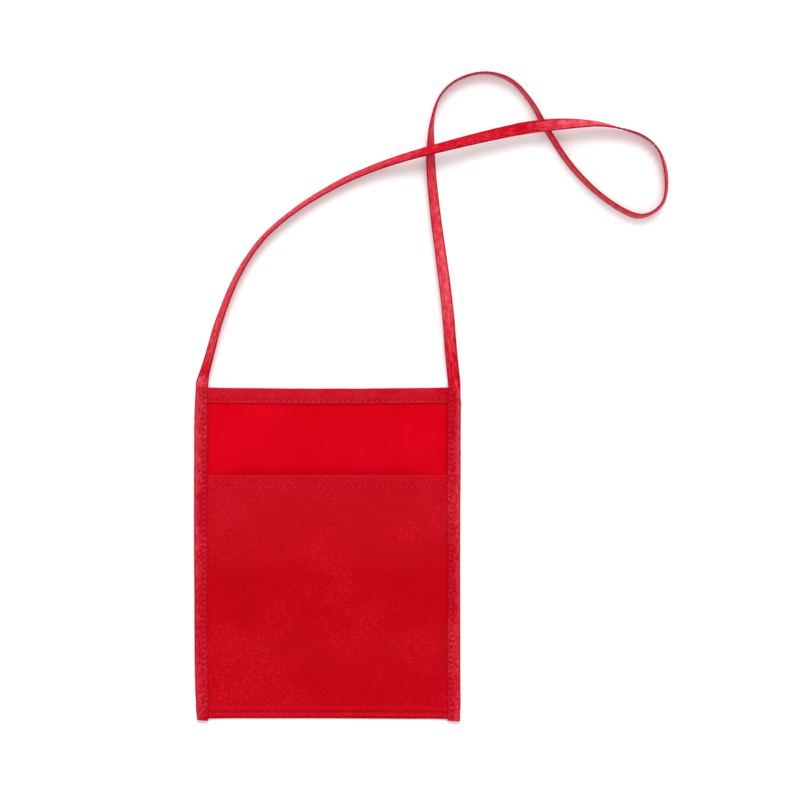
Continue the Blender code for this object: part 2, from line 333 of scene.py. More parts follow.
@dataclass(frozen=True)
class ClothFinish:
    """Spun-bonded cloth: tangled fibres pressed flat, held by a field of tiny bonding points."""

    name: str
    deep: Colour
    plain: Colour
    pale: Colour
    sheen: float
    gloss: float
    speckle_size: float = 1.1 * MM
    fibre_size: float = 0.75 * MM
    fibre_stretch: float = 4.5
    fibre_turns: tuple[float, ...] = (84.0, -8.0, 100.0)
    hair_size: float = 0.15 * MM
    hair_stretch: float = 16.0
    hair_turns: tuple[float, ...] = (31.0, 118.0, 172.0)
    cloud_size: float = 14 * MM
    drift_size: float = 52 * MM
    bond_pitch: float = 1.05 * MM
    bond_turn: float = 45.0
    bond_stray: float = 0.25
    speckle_share: float = 0.33
    hair_share: float = 0.12
    bond_share: float = 0.1
    cloud_share: float = 0.35
    drift_share: float = 0.65
    relief_shares: tuple[float, float, float] = (0.35, 0.35, 0.3)
    fine_share: float = 0.7
    wide_share: float = 0.2
    relief: float = 0.09 * MM

    def hairs(self, graph: Graph) -> bpy.types.NodeSocket:
        """Lay the single fibres, too fine to see from afar, which cross each other every way."""
        sets = [graph.between(graph.speckle(graph.turned(graph.cut(), turn, self.hair_stretch),
                                            self.hair_size, 1.0), 0.52, 0.66)
                for turn in self.hair_turns]
        return graph.most(graph.most(sets[0], sets[1]), sets[2])

    def grain(self, graph: Graph) -> tuple[bpy.types.NodeSocket, bpy.types.NodeSocket]:
        """Lay the cloth's grain.

        Args:
            graph: The material's graph.

        Returns:
            How pale each point is, and how high it stands.
        """
        cut = graph.cut()
        speckle = graph.between(graph.speckle(cut, self.speckle_size), 0.38, 0.66)
        fibres = [graph.between(graph.speckle(graph.turned(cut, turn, self.fibre_stretch),
                                              self.fibre_size, 1.0), 0.48, 0.72)
                  for turn in self.fibre_turns]
        strands = graph.most(graph.most(fibres[0], fibres[1]), fibres[2])
        points = graph.points(graph.turned(cut, self.bond_turn, 1.0), self.bond_pitch,
                              self.bond_stray)
        bonds = graph.between(points, 0.1, 0.42)
        hairs = self.hairs(graph)
        clouds = graph.between(graph.speckle(cut, self.cloud_size, 3.0, 0.5), 0.3, 0.72)
        drift = graph.between(graph.speckle(cut, self.drift_size, 1.0), 0.3, 0.7)
        woven = graph.times(strands, graph.between(hairs, 0.0, 1.0, 0.36, 0.58))
        threads = graph.plus(woven, graph.plus(graph.times(hairs, self.hair_share),
                                               graph.times(bonds, self.bond_share)))
        fine = graph.plus(graph.times(speckle, self.speckle_share), threads)
        wide = graph.plus(graph.times(clouds, self.cloud_share),
                          graph.times(drift, self.drift_share))
        patchy = graph.between(wide, 0.2, 0.8, self.fine_share * 0.75, self.fine_share)
        pale = graph.plus(graph.times(fine, patchy), graph.times(wide, self.wide_share))
        bond_relief, hair_relief, strand_relief = self.relief_shares
        height = graph.plus(graph.times(bonds, bond_relief),
                            graph.plus(graph.times(hairs, hair_relief),
                                       graph.times(strands, strand_relief)))
        return pale, height

    def dress(self, graph: Graph, tint: object, height: bpy.types.NodeSocket,
              pale: bpy.types.NodeSocket) -> bpy.types.Material:
        """Set the surface shader.

        Args:
            graph: The material's graph.
            tint: The surface's colour.
            height: How high each point stands.
            pale: How pale each point is, which also roughens it.

        Returns:
            The finished material.
        """
        shader = graph.shader
        graph.feed(shader.inputs["Base Color"], tint)
        graph.feed(shader.inputs["Roughness"], graph.between(pale, 0.0, 1.0, 0.7, 0.95))
        shader.inputs["Specular IOR Level"].default_value = self.gloss
        shader.inputs["Sheen Weight"].default_value = self.sheen
        shader.inputs["Sheen Roughness"].default_value = 0.45
        shader.inputs["Sheen Tint"].default_value = colour(255, 190, 200)
        graph.relief(height, self.relief)
        return graph.material

    def tint(self, graph: Graph, pale: bpy.types.NodeSocket) -> bpy.types.NodeSocket:
        """The cloth's colour for how pale each point is."""
        low = graph.blend(graph.between(pale, 0.1, 0.5), self.deep, self.plain)
        return graph.blend(graph.between(pale, 0.35, 0.95), low, self.pale)

    def make(self) -> bpy.types.Material:
        """Make the material."""
        graph = Graph(self.name)
        pale, height = self.grain(graph)
        return self.dress(graph, self.tint(graph, pale), height, pale)


@dataclass(frozen=True)
class SewnFinish(ClothFinish):
    """The same cloth, paler along its fold and pricked along its seam, with painted highlights on
    edges and ridges that face the light, and painted shade along edges, creases and seams.

    The places are lengths of cut cloth, measured across the seam.
    """

    runs_up: bool = True
    fold_at: float = 9.6 * MM
    fold_width: float = 0.9 * MM
    fold_share: float = 0.8
    seams_at: tuple[float, ...] = (1.6 * MM,)
    # Painted highlights: paler lines where a cut edge or a fold's ridge faces the light.
    highlights_at: tuple[float, ...] = (0.0,)
    highlight_width: float = 0.9 * MM
    highlight_share: float = 0.6
    # Painted shade: darker lines along edges and creases, where shade falls.
    shade_lines_at: tuple[float, ...] = ()
    shade_line_width: float = 0.7 * MM
    shade_line_share: float = 0.6
    stitch_pitch: float = 3.5 * MM
    prick_radius: float = 0.5 * MM
    prick_share: float = 0.8
    # Painted shade darkening each seam's furrow.
    groove_shade_share: float = 0.25
    furrow_width: float = 0.9 * MM
    calm_share: float = 0.0
    mark_and_shade_colour: Colour = colour(132, 0, 26)
    streak_share: float = 0.0
    tone_and_light_share: float = 0.0
    fades: bool = False

    def marks(self, graph: Graph, wide: bpy.types.NodeSocket, along: bpy.types.NodeSocket
              ) -> tuple[bpy.types.NodeSocket, bpy.types.NodeSocket, bpy.types.NodeSocket]:
        """Find the needle pricks of each seam, the painted shade in its furrow, and the painted
        shade lines along edges and creases.

        Args:
            graph: The material's graph.
            wide: The place across the seam.
            along: The place along the seam.

        Returns:
            How dark the seam's marks and the painted shade are, how deep the pricks are, and how
            far the cloth near each seam stays free of paleness.
        """
        pitches = graph.plus(graph.math("DIVIDE", along, self.stitch_pitch), 0.5)
        off_middle = graph.math("SUBTRACT", graph.math("FRACT", pitches), 0.5)
        off_prick = graph.times(off_middle, self.stitch_pitch)
        square = graph.times(off_prick, off_prick)
        radius, share = self.prick_radius, self.prick_share
        dark, deep, near = 0.0, 0.0, 0.0
        for place in self.seams_at:
            off_seam = graph.apart(wide, place)
            apart = graph.math("SQRT", graph.plus(square, graph.times(off_seam, off_seam)))
            hole = graph.between(apart, radius * 0.25, radius * 0.45, share, 0.0)
            drawn = graph.between(apart, radius * 0.3, radius * 1.5, share * 0.85, 0.0)
            prick = graph.most(hole, drawn)
            # The furrow's darkening is painted shade in the seam's groove.
            furrow = graph.between(off_seam, 0.1 * MM, self.furrow_width, self.groove_shade_share, 0.0)
            dark = graph.most(dark, graph.most(prick, furrow))
            deep = graph.most(deep, prick)
            near = graph.most(near, graph.between(off_seam, self.furrow_width * 0.5,
                                                  self.furrow_width * 1.2, self.calm_share, 0.0))
        # Painted shade lines along edges and creases.
        for place in self.shade_lines_at:
            off_shade_line = graph.apart(wide, place)
            dark = graph.most(dark, graph.between(off_shade_line, self.shade_line_width * 0.3, self.shade_line_width,
                                                  self.shade_line_share, 0.0))
        return dark, deep, near

    def paleness_and_highlights(self, graph: Graph, wide: bpy.types.NodeSocket,
                tone_and_light: bpy.types.NodeSocket) -> bpy.types.NodeSocket:
        """Find how far the cloth is painted pale, partly as painted highlights and painted sheen.

        Args:
            graph: The material's graph.
            wide: The place across the seam.
            tone_and_light: How pale each point of the piece is, partly as painted sheen and painted
                shade.

        Returns:
            The share of pale colour, partly painted highlight and painted sheen.
        """
        uneven = graph.between(graph.speckle(graph.cut(), 2.6 * MM, 2.0), 0.3, 0.7, 0.45, 1.0)
        paleness_and_light = graph.between(graph.apart(wide, self.fold_at), self.fold_width * 0.4,
                               self.fold_width * 1.5, self.fold_share, 0.0)
        # Painted highlights along edges and ridges that face the light.
        for place in self.highlights_at:
            edge = graph.between(graph.apart(wide, place), self.highlight_width * 0.3,
                                 self.highlight_width, self.highlight_share, 0.0)
            paleness_and_light = graph.most(paleness_and_light, edge)
        paleness_and_light = graph.times(paleness_and_light, uneven)
        if self.fades:
            paleness_and_light = graph.times(paleness_and_light, tone_and_light)
        # The per-point paleness: a painted sheen on the strap, darkened as painted shade in creases
        # and a wrinkle.
        if self.tone_and_light_share:
            blotch = graph.between(graph.speckle(graph.cut(), 3.2 * MM, 2.0), 0.3, 0.7, 0.5, 1.0)
            paleness_and_light = graph.most(paleness_and_light, graph.times(graph.times(tone_and_light, blotch), self.tone_and_light_share))
        if self.streak_share:
            lines = graph.speckle(graph.turned(graph.cut(), 0.0, 4.0), 1.3 * MM, 2.5)
            streaks = graph.between(lines, 0.4, 0.68, -self.streak_share, self.streak_share)
            paleness_and_light = graph.math("MINIMUM", graph.most(graph.plus(paleness_and_light, streaks), 0.0), 1.0)
        return graph.times(paleness_and_light, graph.between(self.hairs(graph), 0.0, 1.0, 0.8, 1.12))

    def make(self) -> bpy.types.Material:
        """Make the material."""
        graph = Graph(self.name)
        pale, height = self.grain(graph)
        first, second = graph.across(graph.cut())
        wide, along = (second, first) if self.runs_up else (first, second)
        # The per-point paleness, partly painted light and shade.
        tone_and_light = graph.node("ShaderNodeAttribute", attribute_name="tone_and_light").outputs["Fac"]
        paleness_and_light = self.paleness_and_highlights(graph, wide, tone_and_light)
        dark, deep, near = self.marks(graph, wide, along)
        if self.fades:
            near = graph.times(near, graph.between(tone_and_light, 0.4, 0.9, 1.0, 0.5))
        paleness_and_light = graph.times(paleness_and_light, graph.math("SUBTRACT", 1.0, near))
        tint = graph.blend(paleness_and_light, self.tint(graph, pale), self.pale)
        tint = graph.blend(dark, tint, self.mark_and_shade_colour)
        sunk = graph.math("SUBTRACT", height, graph.times(deep, 2.0))
        return self.dress(graph, tint, sunk, pale)


@dataclass(frozen=True)
class ThreadFinish:
    """Spun sewing thread: two plies twisted together."""

    name: str
    dark: Colour
    light: Colour
    twist_pitch: float = 0.55 * MM
    fuzz_size: float = 0.12 * MM
    fuzz_share: float = 0.4
    relief: float = 0.05 * MM

    def make(self) -> bpy.types.Material:
        """Make the material."""
        graph = Graph(self.name)
        cut = graph.cut()
        plies = graph.node("ShaderNodeTexWave", wave_type="BANDS", bands_direction="DIAGONAL")
        graph.feed(plies.inputs["Vector"], cut)
        # One band is a turn of 6.3 radians, and the wave runs at 20 radians per unit of length.
        graph.feed(plies.inputs["Scale"], 1.0 / (20 * self.twist_pitch) * 6.3)
        graph.feed(plies.inputs["Distortion"], 0.6)
        fuzz = graph.speckle(cut, self.fuzz_size, 1.0)
        height = graph.plus(plies.outputs["Fac"], graph.times(fuzz, self.fuzz_share))
        # Darker in the grooves between the plies and lighter on their crowns: painted shade and
        # painted highlight.
        graph.feed(graph.shader.inputs["Base Color"],
                   graph.blend(graph.between(height, 0.2, 1.2), self.dark, self.light))
        graph.feed(graph.shader.inputs["Roughness"], graph.between(fuzz, 0.3, 0.7, 0.45, 0.7))
        graph.shader.inputs["Specular IOR Level"].default_value = 0.12
        graph.relief(height, self.relief)
        return graph.material


@dataclass(frozen=True)
class FloorFinish:
    """Plain matt white paper."""

    name: str
    tone: float = 0.9

    def make(self) -> bpy.types.Material:
        """Make the material."""
        graph = Graph(self.name)
        graph.shader.inputs["Base Color"].default_value = (self.tone, self.tone, self.tone, 1.0)
        graph.shader.inputs["Roughness"].default_value = 1.0
        graph.shader.inputs["Specular IOR Level"].default_value = 0.0
        return graph.material


@dataclass(frozen=True)
class Finishes:
    """Every finish of the pouch, made once."""

    back: bpy.types.Material
    front: bpy.types.Material
    inner: bpy.types.Material
    binding: bpy.types.Material
    strap: bpy.types.Material
    thread: bpy.types.Material

    @classmethod
    def make(cls, pocket_seam: float, mouth: float, bottom: float) -> "Finishes":
        """Make the materials of the pouch.

        Args:
            pocket_seam: The pocket hem's seam, as a length of the pocket's cloth.
            mouth: The mouth's fold, as a length of the pocket's cloth.
            bottom: The bottom crease, as a length of the back's cloth.

        Returns:
            The finishes.
        """
        cloth = dict(deep=colour(182, 0, 13), plain=colour(191, 0, 19), pale=colour(206, 30, 49),
                     sheen=0.04, gloss=0.03)
        tape = dict(runs_up=False, fold_at=8.4 * MM, seams_at=(2.1 * MM, 14.8 * MM),
                    highlights_at=(), stitch_pitch=3.2 * MM, gloss=0.04,
                    fibre_turns=(0.0, 88.0, 62.0))
        # The back cloth: painted highlights along the hem's raw edge and the bottom fold's ridge,
        # and painted shade lines at the top hem's fold and along the bottom fold's edge.
        back = SewnFinish("hemmed_cloth", **cloth, fold_share=0.0, tone_and_light_share=0.8,
                          highlights_at=(0.0, bottom - 1.6 * MM), shade_lines_at=(9.2 * MM, bottom - 3.7 * MM))
        # The pocket's front: a painted highlight along the mouth's fold and the bottom ridge, and
        # painted shade along the bottom crease and in the hem's seam furrow.
        front = SewnFinish("pocket_cloth", **cloth, fold_at=mouth, fold_width=0.8 * MM,
                           fold_share=0.6, seams_at=(pocket_seam,), prick_share=0.45,
                           groove_shade_share=0.22, highlights_at=(2.4 * MM,), highlight_width=0.8 * MM,
                           highlight_share=0.35, shade_lines_at=(0.0,), shade_line_share=0.4, wide_share=0.14,
                           tone_and_light_share=0.25)
        inner = ClothFinish("inner_cloth", colour(204, 0, 16), colour(210, 0, 21),
                            colour(217, 4, 30), sheen=0.0, gloss=0.02, fine_share=0.4,
                            wide_share=0.6)
        # The binding: painted shade lines along its open edges and beside its fold, which at the
        # open edges also stand for the tape's dark cut edge, and painted shade in its seam furrows.
        binding = SewnFinish("binding_tape", colour(182, 0, 22), colour(196, 2, 34),
                             colour(216, 74, 84), sheen=0.04, **tape, fades=True,
                             fold_width=2.9 * MM, fold_share=0.95,
                             shade_lines_at=(0.0, 7.5 * MM, 9.3 * MM, 16.9 * MM), shade_line_width=1.0 * MM,
                             shade_line_share=0.45, prick_radius=0.95 * MM, prick_share=0.85,
                             mark_and_shade_colour=colour(158, 0, 20), groove_shade_share=0.12,
                             furrow_width=1.9 * MM, calm_share=0.95, streak_share=0.2)
        # The strap's pale colour is a painted sheen where it leans or faces the light; its dark
        # lines at both edges and beside the fold are painted shade.
        strap = SewnFinish("strap_tape", colour(200, 0, 23), colour(213, 4, 35),
                           colour(248, 101, 116), sheen=0.05, **tape, fine_share=0.5,
                           wide_share=0.1, fold_share=0.0,
                           shade_lines_at=(0.0, 7.8 * MM, 9.0 * MM, 16.9 * MM), shade_line_width=0.9 * MM,
                           shade_line_share=0.7, prick_radius=0.5 * MM, prick_share=0.35,
                           groove_shade_share=0.12, mark_and_shade_colour=colour(146, 0, 40),
                           streak_share=0.22, tone_and_light_share=0.95)
        thread = ThreadFinish("sewing_thread", colour(188, 6, 42), colour(228, 54, 86))
        return cls(*(finish.make() for finish in (back, front, inner, binding, strap, thread)))


# ---------------------------------------------------------------------------------------------
# How the pouch lies
# ---------------------------------------------------------------------------------------------


@dataclass(frozen=True)
class Station:
    """A point on the line of a cloth's fold: its cut length, and its place across the pouch."""

    cut: float
    y: float
    z: float


@dataclass
class FoldLine:
    """The line in the Y-Z plane that a length of cloth follows from one cut edge to the other."""

    stations: list[Station] = field(default_factory=list)

    def go(self, y: float, z: float) -> None:
        """Add the next point, and measure the cloth used to reach it."""
        used = 0.0
        if self.stations:
            last = self.stations[-1]
            used = last.cut + math.hypot(y - last.y, z - last.z)
        self.stations.append(Station(used, y, z))

    def run(self, y: float, z: float, step: float) -> None:
        """Go straight to a point in steps no longer than step."""
        last = self.stations[-1]
        count = max(1, math.ceil(abs(y - last.y) / step - 1e-6))
        for index in range(1, count + 1):
            self.go(mix(last.y, y, index / count), mix(last.z, z, index / count))

    def roll(self, centre_y: float, centre_z: float, radius: float, start: float, end: float,
             steps: int = 10) -> None:
        """Go round an arc that begins at the last point.

        Args:
            centre_y: The arc's centre, along Y.
            centre_z: The arc's centre, along Z.
            radius: The arc's radius.
            start: The first angle in degrees, from +Y towards +Z.
            end: The last angle.
            steps: The number of pieces in the arc.
        """
        for index in range(1, steps + 1):
            angle = math.radians(mix(start, end, index / steps))
            self.go(centre_y + radius * math.cos(angle), centre_z + radius * math.sin(angle))


@dataclass(frozen=True)
class Lie:
    """The pouch's sizes, and how it settles where it lies."""

    half_width: float = 80 * MM
    half_height: float = 100 * MM
    cloth: float = 0.42 * MM
    edge_x: float = 78.3 * MM
    inner_x: float = 72 * MM
    rise: float = 0.5 * MM
    rise_from: float = 63 * MM
    rise_to: float = 71.4 * MM
    top_y: float = 99.5 * MM
    fold_y: float = -98.5 * MM
    crease_y: float = -94.5 * MM
    mouth_y: float = 47.6 * MM
    hem: float = 9 * MM
    roll: float = 0.4 * MM
    floor_gap: float = 0.02 * MM
    mouth_lift: float = 5.0 * MM
    flat_half: float = 40 * MM
    full_lift_y: float = 5 * MM
    hem_pitch: float = 3.5 * MM
    binding_pitch: float = 3.2 * MM
    top_seam_y: float = 92.1 * MM
    pocket_seam_y: float = 40 * MM
    # How far each binding's fold and inner edge stray, as rows of Y and stray in millimetres.
    left_edge: tuple[tuple[float, float], ...] = (
        (-100, 1.8), (-90, 1.1), (-80, 0.7), (-63, 0.36), (-27, 0.2), (9, 0.0), (72, 0.05),
        (82, 0.24), (90, 0.52), (100.3, 1.0))
    left_inner: tuple[tuple[float, float], ...] = (
        (-100, 0.5), (-60, 0.12), (-20, -0.08), (20, 0.1), (60, -0.05), (84, 0.0), (100.3, 0.4))
    right_edge: tuple[tuple[float, float], ...] = (
        (-100, 0.5), (-90, 0.2), (-60, 0.32), (-20, 0.4), (20, 0.38), (54, 0.1), (80, 0.07),
        (87, 0.02), (90, -0.2), (93.5, 0.1), (100.3, 0.2))
    right_inner: tuple[tuple[float, float], ...] = (
        (-100, 0.0), (-62, 0.1), (-24, -0.1), (14, 0.06), (50, -0.06), (84, 0.0), (92, 0.05),
        (100.3, -0.4))

    @property
    def low(self) -> float:
        """The height of the middle of the cloth that lies on the floor."""
        return self.cloth / 2 + self.floor_gap

    @property
    def top(self) -> float:
        """The height of the middle of a layer that is rolled over that cloth."""
        return self.low + 2 * self.roll

    def outer_inset(self, side: Side, y: float) -> float:
        """How far a binding's fold stands in from the true side."""
        return eased_table(self.left_edge if side is Side.LEFT else self.right_edge, y / MM) * MM

    def inner_inset(self, side: Side, y: float) -> float:
        """How far a binding's inner edge has moved towards the middle."""
        return eased_table(self.left_inner if side is Side.LEFT else self.right_inner, y / MM) * MM

    def aside(self, x: float, y: float) -> float:
        """Draw the cloth's sides in with their bindings."""
        side = Side.LEFT if x < 0 else Side.RIGHT
        share = ease((abs(x) - 60 * MM) / (16 * MM))
        return x - side.value * share * max(self.outer_inset(side, y), 0.0)

    def side_rise(self, x: float) -> float:
        """How far the cloth rises over the back half of its binding."""
        return self.rise * ease((abs(x) - self.rise_from) / (self.rise_to - self.rise_from))

    def wave(self, x: float, y: float) -> float:
        """The back's gentle lift off the floor, which dies away at the sides and the bottom."""
        inside = ease((self.rise_to - abs(x)) / (22 * MM)) * ease((y - 20 * MM) / (40 * MM))
        soft = 0.5 + 0.7 * ripple(x, y * 0.7, 34 * MM, 2) + 0.35 * ripple(x, y, 15 * MM, 3)
        return 0.3 * MM * inside * max(soft, 0.0)

    def top_sag(self, x: float, y: float) -> float:
        """The top edge is a little lower in its middle than at its sides."""
        sag = -0.12 * MM + 0.66 * MM * (abs(x) / (70 * MM)) ** 2
        level = sag + 0.12 * MM * ripple(x, 0, 17 * MM, 5)
        return level * ease((y - 62 * MM) / (30 * MM)) * ease((78 * MM - abs(x)) / (5 * MM) + 0.4)

    def bottom_sag(self, x: float, y: float) -> float:
        """The bottom fold slants a little to one side."""
        slant = 0.12 * MM - 0.34 * MM * ease((x + 10 * MM) / (80 * MM))
        level = slant + 0.07 * MM * ripple(x, 1, 15 * MM, 6)
        return level * ease((-62 * MM - y) / (30 * MM))

    def pocket_lift(self, x: float, y: float) -> float:
        """How far the pocket's front stands off the back."""
        across = ease((71.7 * MM - abs(x)) / (71.7 * MM - self.flat_half))
        along = ease((y - self.crease_y) / (self.full_lift_y - self.crease_y))
        return self.mouth_lift * across * along

    def pucker(self, along: float, pitch: float) -> float:
        """1 at a seam's needle holes and 0 half way between them."""
        return 0.5 + 0.5 * math.cos(2 * math.pi * along / pitch)


LIE = Lie()


# ---------------------------------------------------------------------------------------------
# Sheets of cloth
# ---------------------------------------------------------------------------------------------


def spread_columns(start: float, end: float, step: float) -> list[float]:
    """Even places from start to end, no further apart than step."""
    count = max(1, math.ceil((end - start) / step - 1e-6))
    return [mix(start, end, index / count) for index in range(count + 1)]


def cloth_sheet(name: str, columns: Sequence[float], line: FoldLine, place: Place, thickness: float,
                outer: bpy.types.Material, inner: bpy.types.Material,
                paleness_and_light: Callable[[float, Station], float] | None = None) -> bpy.types.Object:
    """Lay a grid of cloth over a fold line and give it its thickness.

    Args:
        name: The piece's name.
        columns: The places across the pouch, by rising X.
        line: The fold line, from one cut edge to the other.
        place: Sets down the point at one column and station.
        thickness: The cloth's thickness.
        outer: The finish of the face that the grid's normals point from.
        inner: The finish of the other face and of the cut edges.
        paleness_and_light: Tells how pale the cloth is at one column and station, partly as painted
            shade, if at all.

    Returns:
        The closed sheet, with its flat cut as its UV map.
    """
    stations = line.stations
    deselect_all()
    bpy.ops.mesh.primitive_grid_add(x_subdivisions=len(columns) - 1,
                                    y_subdivisions=len(stations) - 1, size=1.0)
    obj = bpy.context.object
    obj.name = obj.data.name = name
    mesh = obj.data
    cells = []
    tone_and_light = mesh.attributes.new("tone_and_light", "FLOAT", "POINT")
    for vertex in mesh.vertices:
        column = round((vertex.co.x + 0.5) * (len(columns) - 1))
        row = round((vertex.co.y + 0.5) * (len(stations) - 1))
        cells.append((columns[column], stations[row].cut))
        vertex.co = place(columns[column], stations[row])
        tone_and_light.data[vertex.index].value = paleness_and_light(columns[column], stations[row]) if paleness_and_light else 0.0
    cut = mesh.uv_layers.active or mesh.uv_layers.new(name="cut")
    cut.name = "cut"
    for loop in mesh.loops:
        cut.data[loop.index].uv = cells[loop.vertex_index]
    mesh.materials.append(outer)
    mesh.materials.append(inner)
    apply_modifier(obj, "SOLIDIFY", thickness=thickness, offset=0.0, use_even_offset=True,
                   use_rim=True, material_offset=1, material_offset_rim=1)
    smooth(obj, 60)
    LOG.info("%s: %d faces", name, len(obj.data.polygons))
    return obj


@dataclass
class BackCloth:
    """The pouch's back, its top edge rolled over to the front and its bottom turned up."""

    lie: Lie = LIE
    step: float = 3.5 / 3 * MM
    puff: float = 0.28 * MM

    def line(self) -> FoldLine:
        """The cloth's line, from the top hem's raw edge to the crease under the pocket's front."""
        lie = self.lie
        line = FoldLine()
        line.go(lie.top_y - lie.hem, lie.top)
        line.run(lie.top_seam_y - 0.5 * MM, lie.top, 0.5 * MM)
        line.run(lie.top_seam_y + 0.5 * MM, lie.top, 0.5 * MM)
        centre = lie.top_y - lie.roll - lie.cloth / 2
        line.run(centre, lie.top, 0.9 * MM)
        line.roll(centre, lie.low + lie.roll, lie.roll, 90, -90)
        line.run(lie.mouth_y - 10 * MM, lie.low, 1.3 * MM)
        line.run(-80 * MM, lie.low, 3.2 * MM)
        centre = lie.fold_y + lie.roll + lie.cloth / 2
        line.run(centre, lie.low, 1.4 * MM)
        line.roll(centre, lie.low + lie.roll, lie.roll, -90, -270)
        line.run(lie.crease_y, lie.top, 0.6 * MM)
        return line

    def hem_height(self, x: float, station: Station) -> float:
        """How the hem's flap stands off its fold line: pulled down at the seam, puffed above it."""
        lie = self.lie
        if station.cut > lie.hem:
            return 0.0
        y = station.y
        seam = bell(y - lie.top_seam_y, 0.75 * MM)
        pulled = -0.3 * MM * seam - 0.1 * MM * seam * lie.pucker(x, lie.hem_pitch)
        middle = math.sin(math.pi * min(max((y - lie.top_seam_y) / (6.8 * MM), 0.0), 1.0))
        puffed = self.puff * middle * (0.85 + 0.6 * ripple(x, y * 2, 9 * MM, 11))
        crease = 0.45 * MM * (bell(x - 64 * MM + (y - 96 * MM) * 1.4, 1.8 * MM)
                              - bell(x - 68.5 * MM + (y - 96 * MM) * 1.2, 2.2 * MM))
        crease *= ease((y - 92.5 * MM) / (2 * MM)) * ease((98.4 * MM - y) / (2 * MM))
        raw = bell(y - (lie.top_y - lie.hem), 0.8 * MM)
        edge = 0.12 * MM * raw * (1 + ripple(x, 0, 5 * MM, 12))
        shut = ease((76 * MM - abs(x)) / (4 * MM))
        return (pulled + puffed + crease) * shut + edge

    def paleness_and_light(self, x: float, station: Station) -> float:
        """The hem is paler, except in painted shade where a wrinkle folds in at its right end."""
        lie = self.lie
        hem = ease((lie.hem + 0.3 * MM - station.cut) / (0.8 * MM))
        above = station.y - 98 * MM + (x - 64.5 * MM) * 0.61
        # The wrinkle's fold stays dark as painted shade; a line beside it is made paler.
        wrinkle = ease((above + 0.9 * MM) / (1.8 * MM)) * ease((x - 60 * MM) / (3.5 * MM))
        furrow = bell(x - 58.5 * MM + (station.y - 96 * MM) * 1.5, 2.2 * MM)
        uneven = 0.8 + 0.5 * ripple(x, station.y * 2.2, 7 * MM, 15)
        return hem * (1 - wrinkle) * (1 + 0.5 * furrow) * uneven

    def place(self, x: float, station: Station) -> tuple[float, float, float]:
        """Set down one point of the cloth."""
        lie = self.lie
        y, z = station.y, station.z
        z += lie.side_rise(x) + lie.wave(x, y)
        if station.cut <= lie.hem:
            z += self.hem_height(x, station)
            raw = bell(y - (lie.top_y - lie.hem), 1.0 * MM)
            y += raw * (0.16 * MM * ripple(x, 0, 6 * MM, 13) + 0.1 * MM * ripple(x, 0, 2 * MM, 14))
        elif z < 0.45 * MM + lie.side_rise(x) and y > lie.top_seam_y - 6 * MM:
            z += 0.32 * MM * bell(y - lie.top_seam_y, 1.6 * MM)
        ridge = bell(station.y + 96.2 * MM, 0.9 * MM) if station.z > lie.roll * 2 else 0.0
        z += 0.16 * MM * ridge * ease((70 * MM - abs(x)) / (6 * MM))
        y += lie.top_sag(x, station.y) + lie.bottom_sag(x, station.y)
        return (lie.aside(x, station.y), y, z)

    def build(self, finishes: Finishes) -> bpy.types.Object:
        """Make the cloth and put it on the pouch."""
        line = self.line()
        columns = spread_columns(-self.lie.edge_x, self.lie.edge_x, self.step)
        obj = cloth_sheet("back_cloth", columns, line, self.place, self.lie.cloth, finishes.back,
                          finishes.inner, self.paleness_and_light)
        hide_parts("back_panel", "top_hem", "bottom_fold")
        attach(obj, Body.POUCH.value)
        return obj


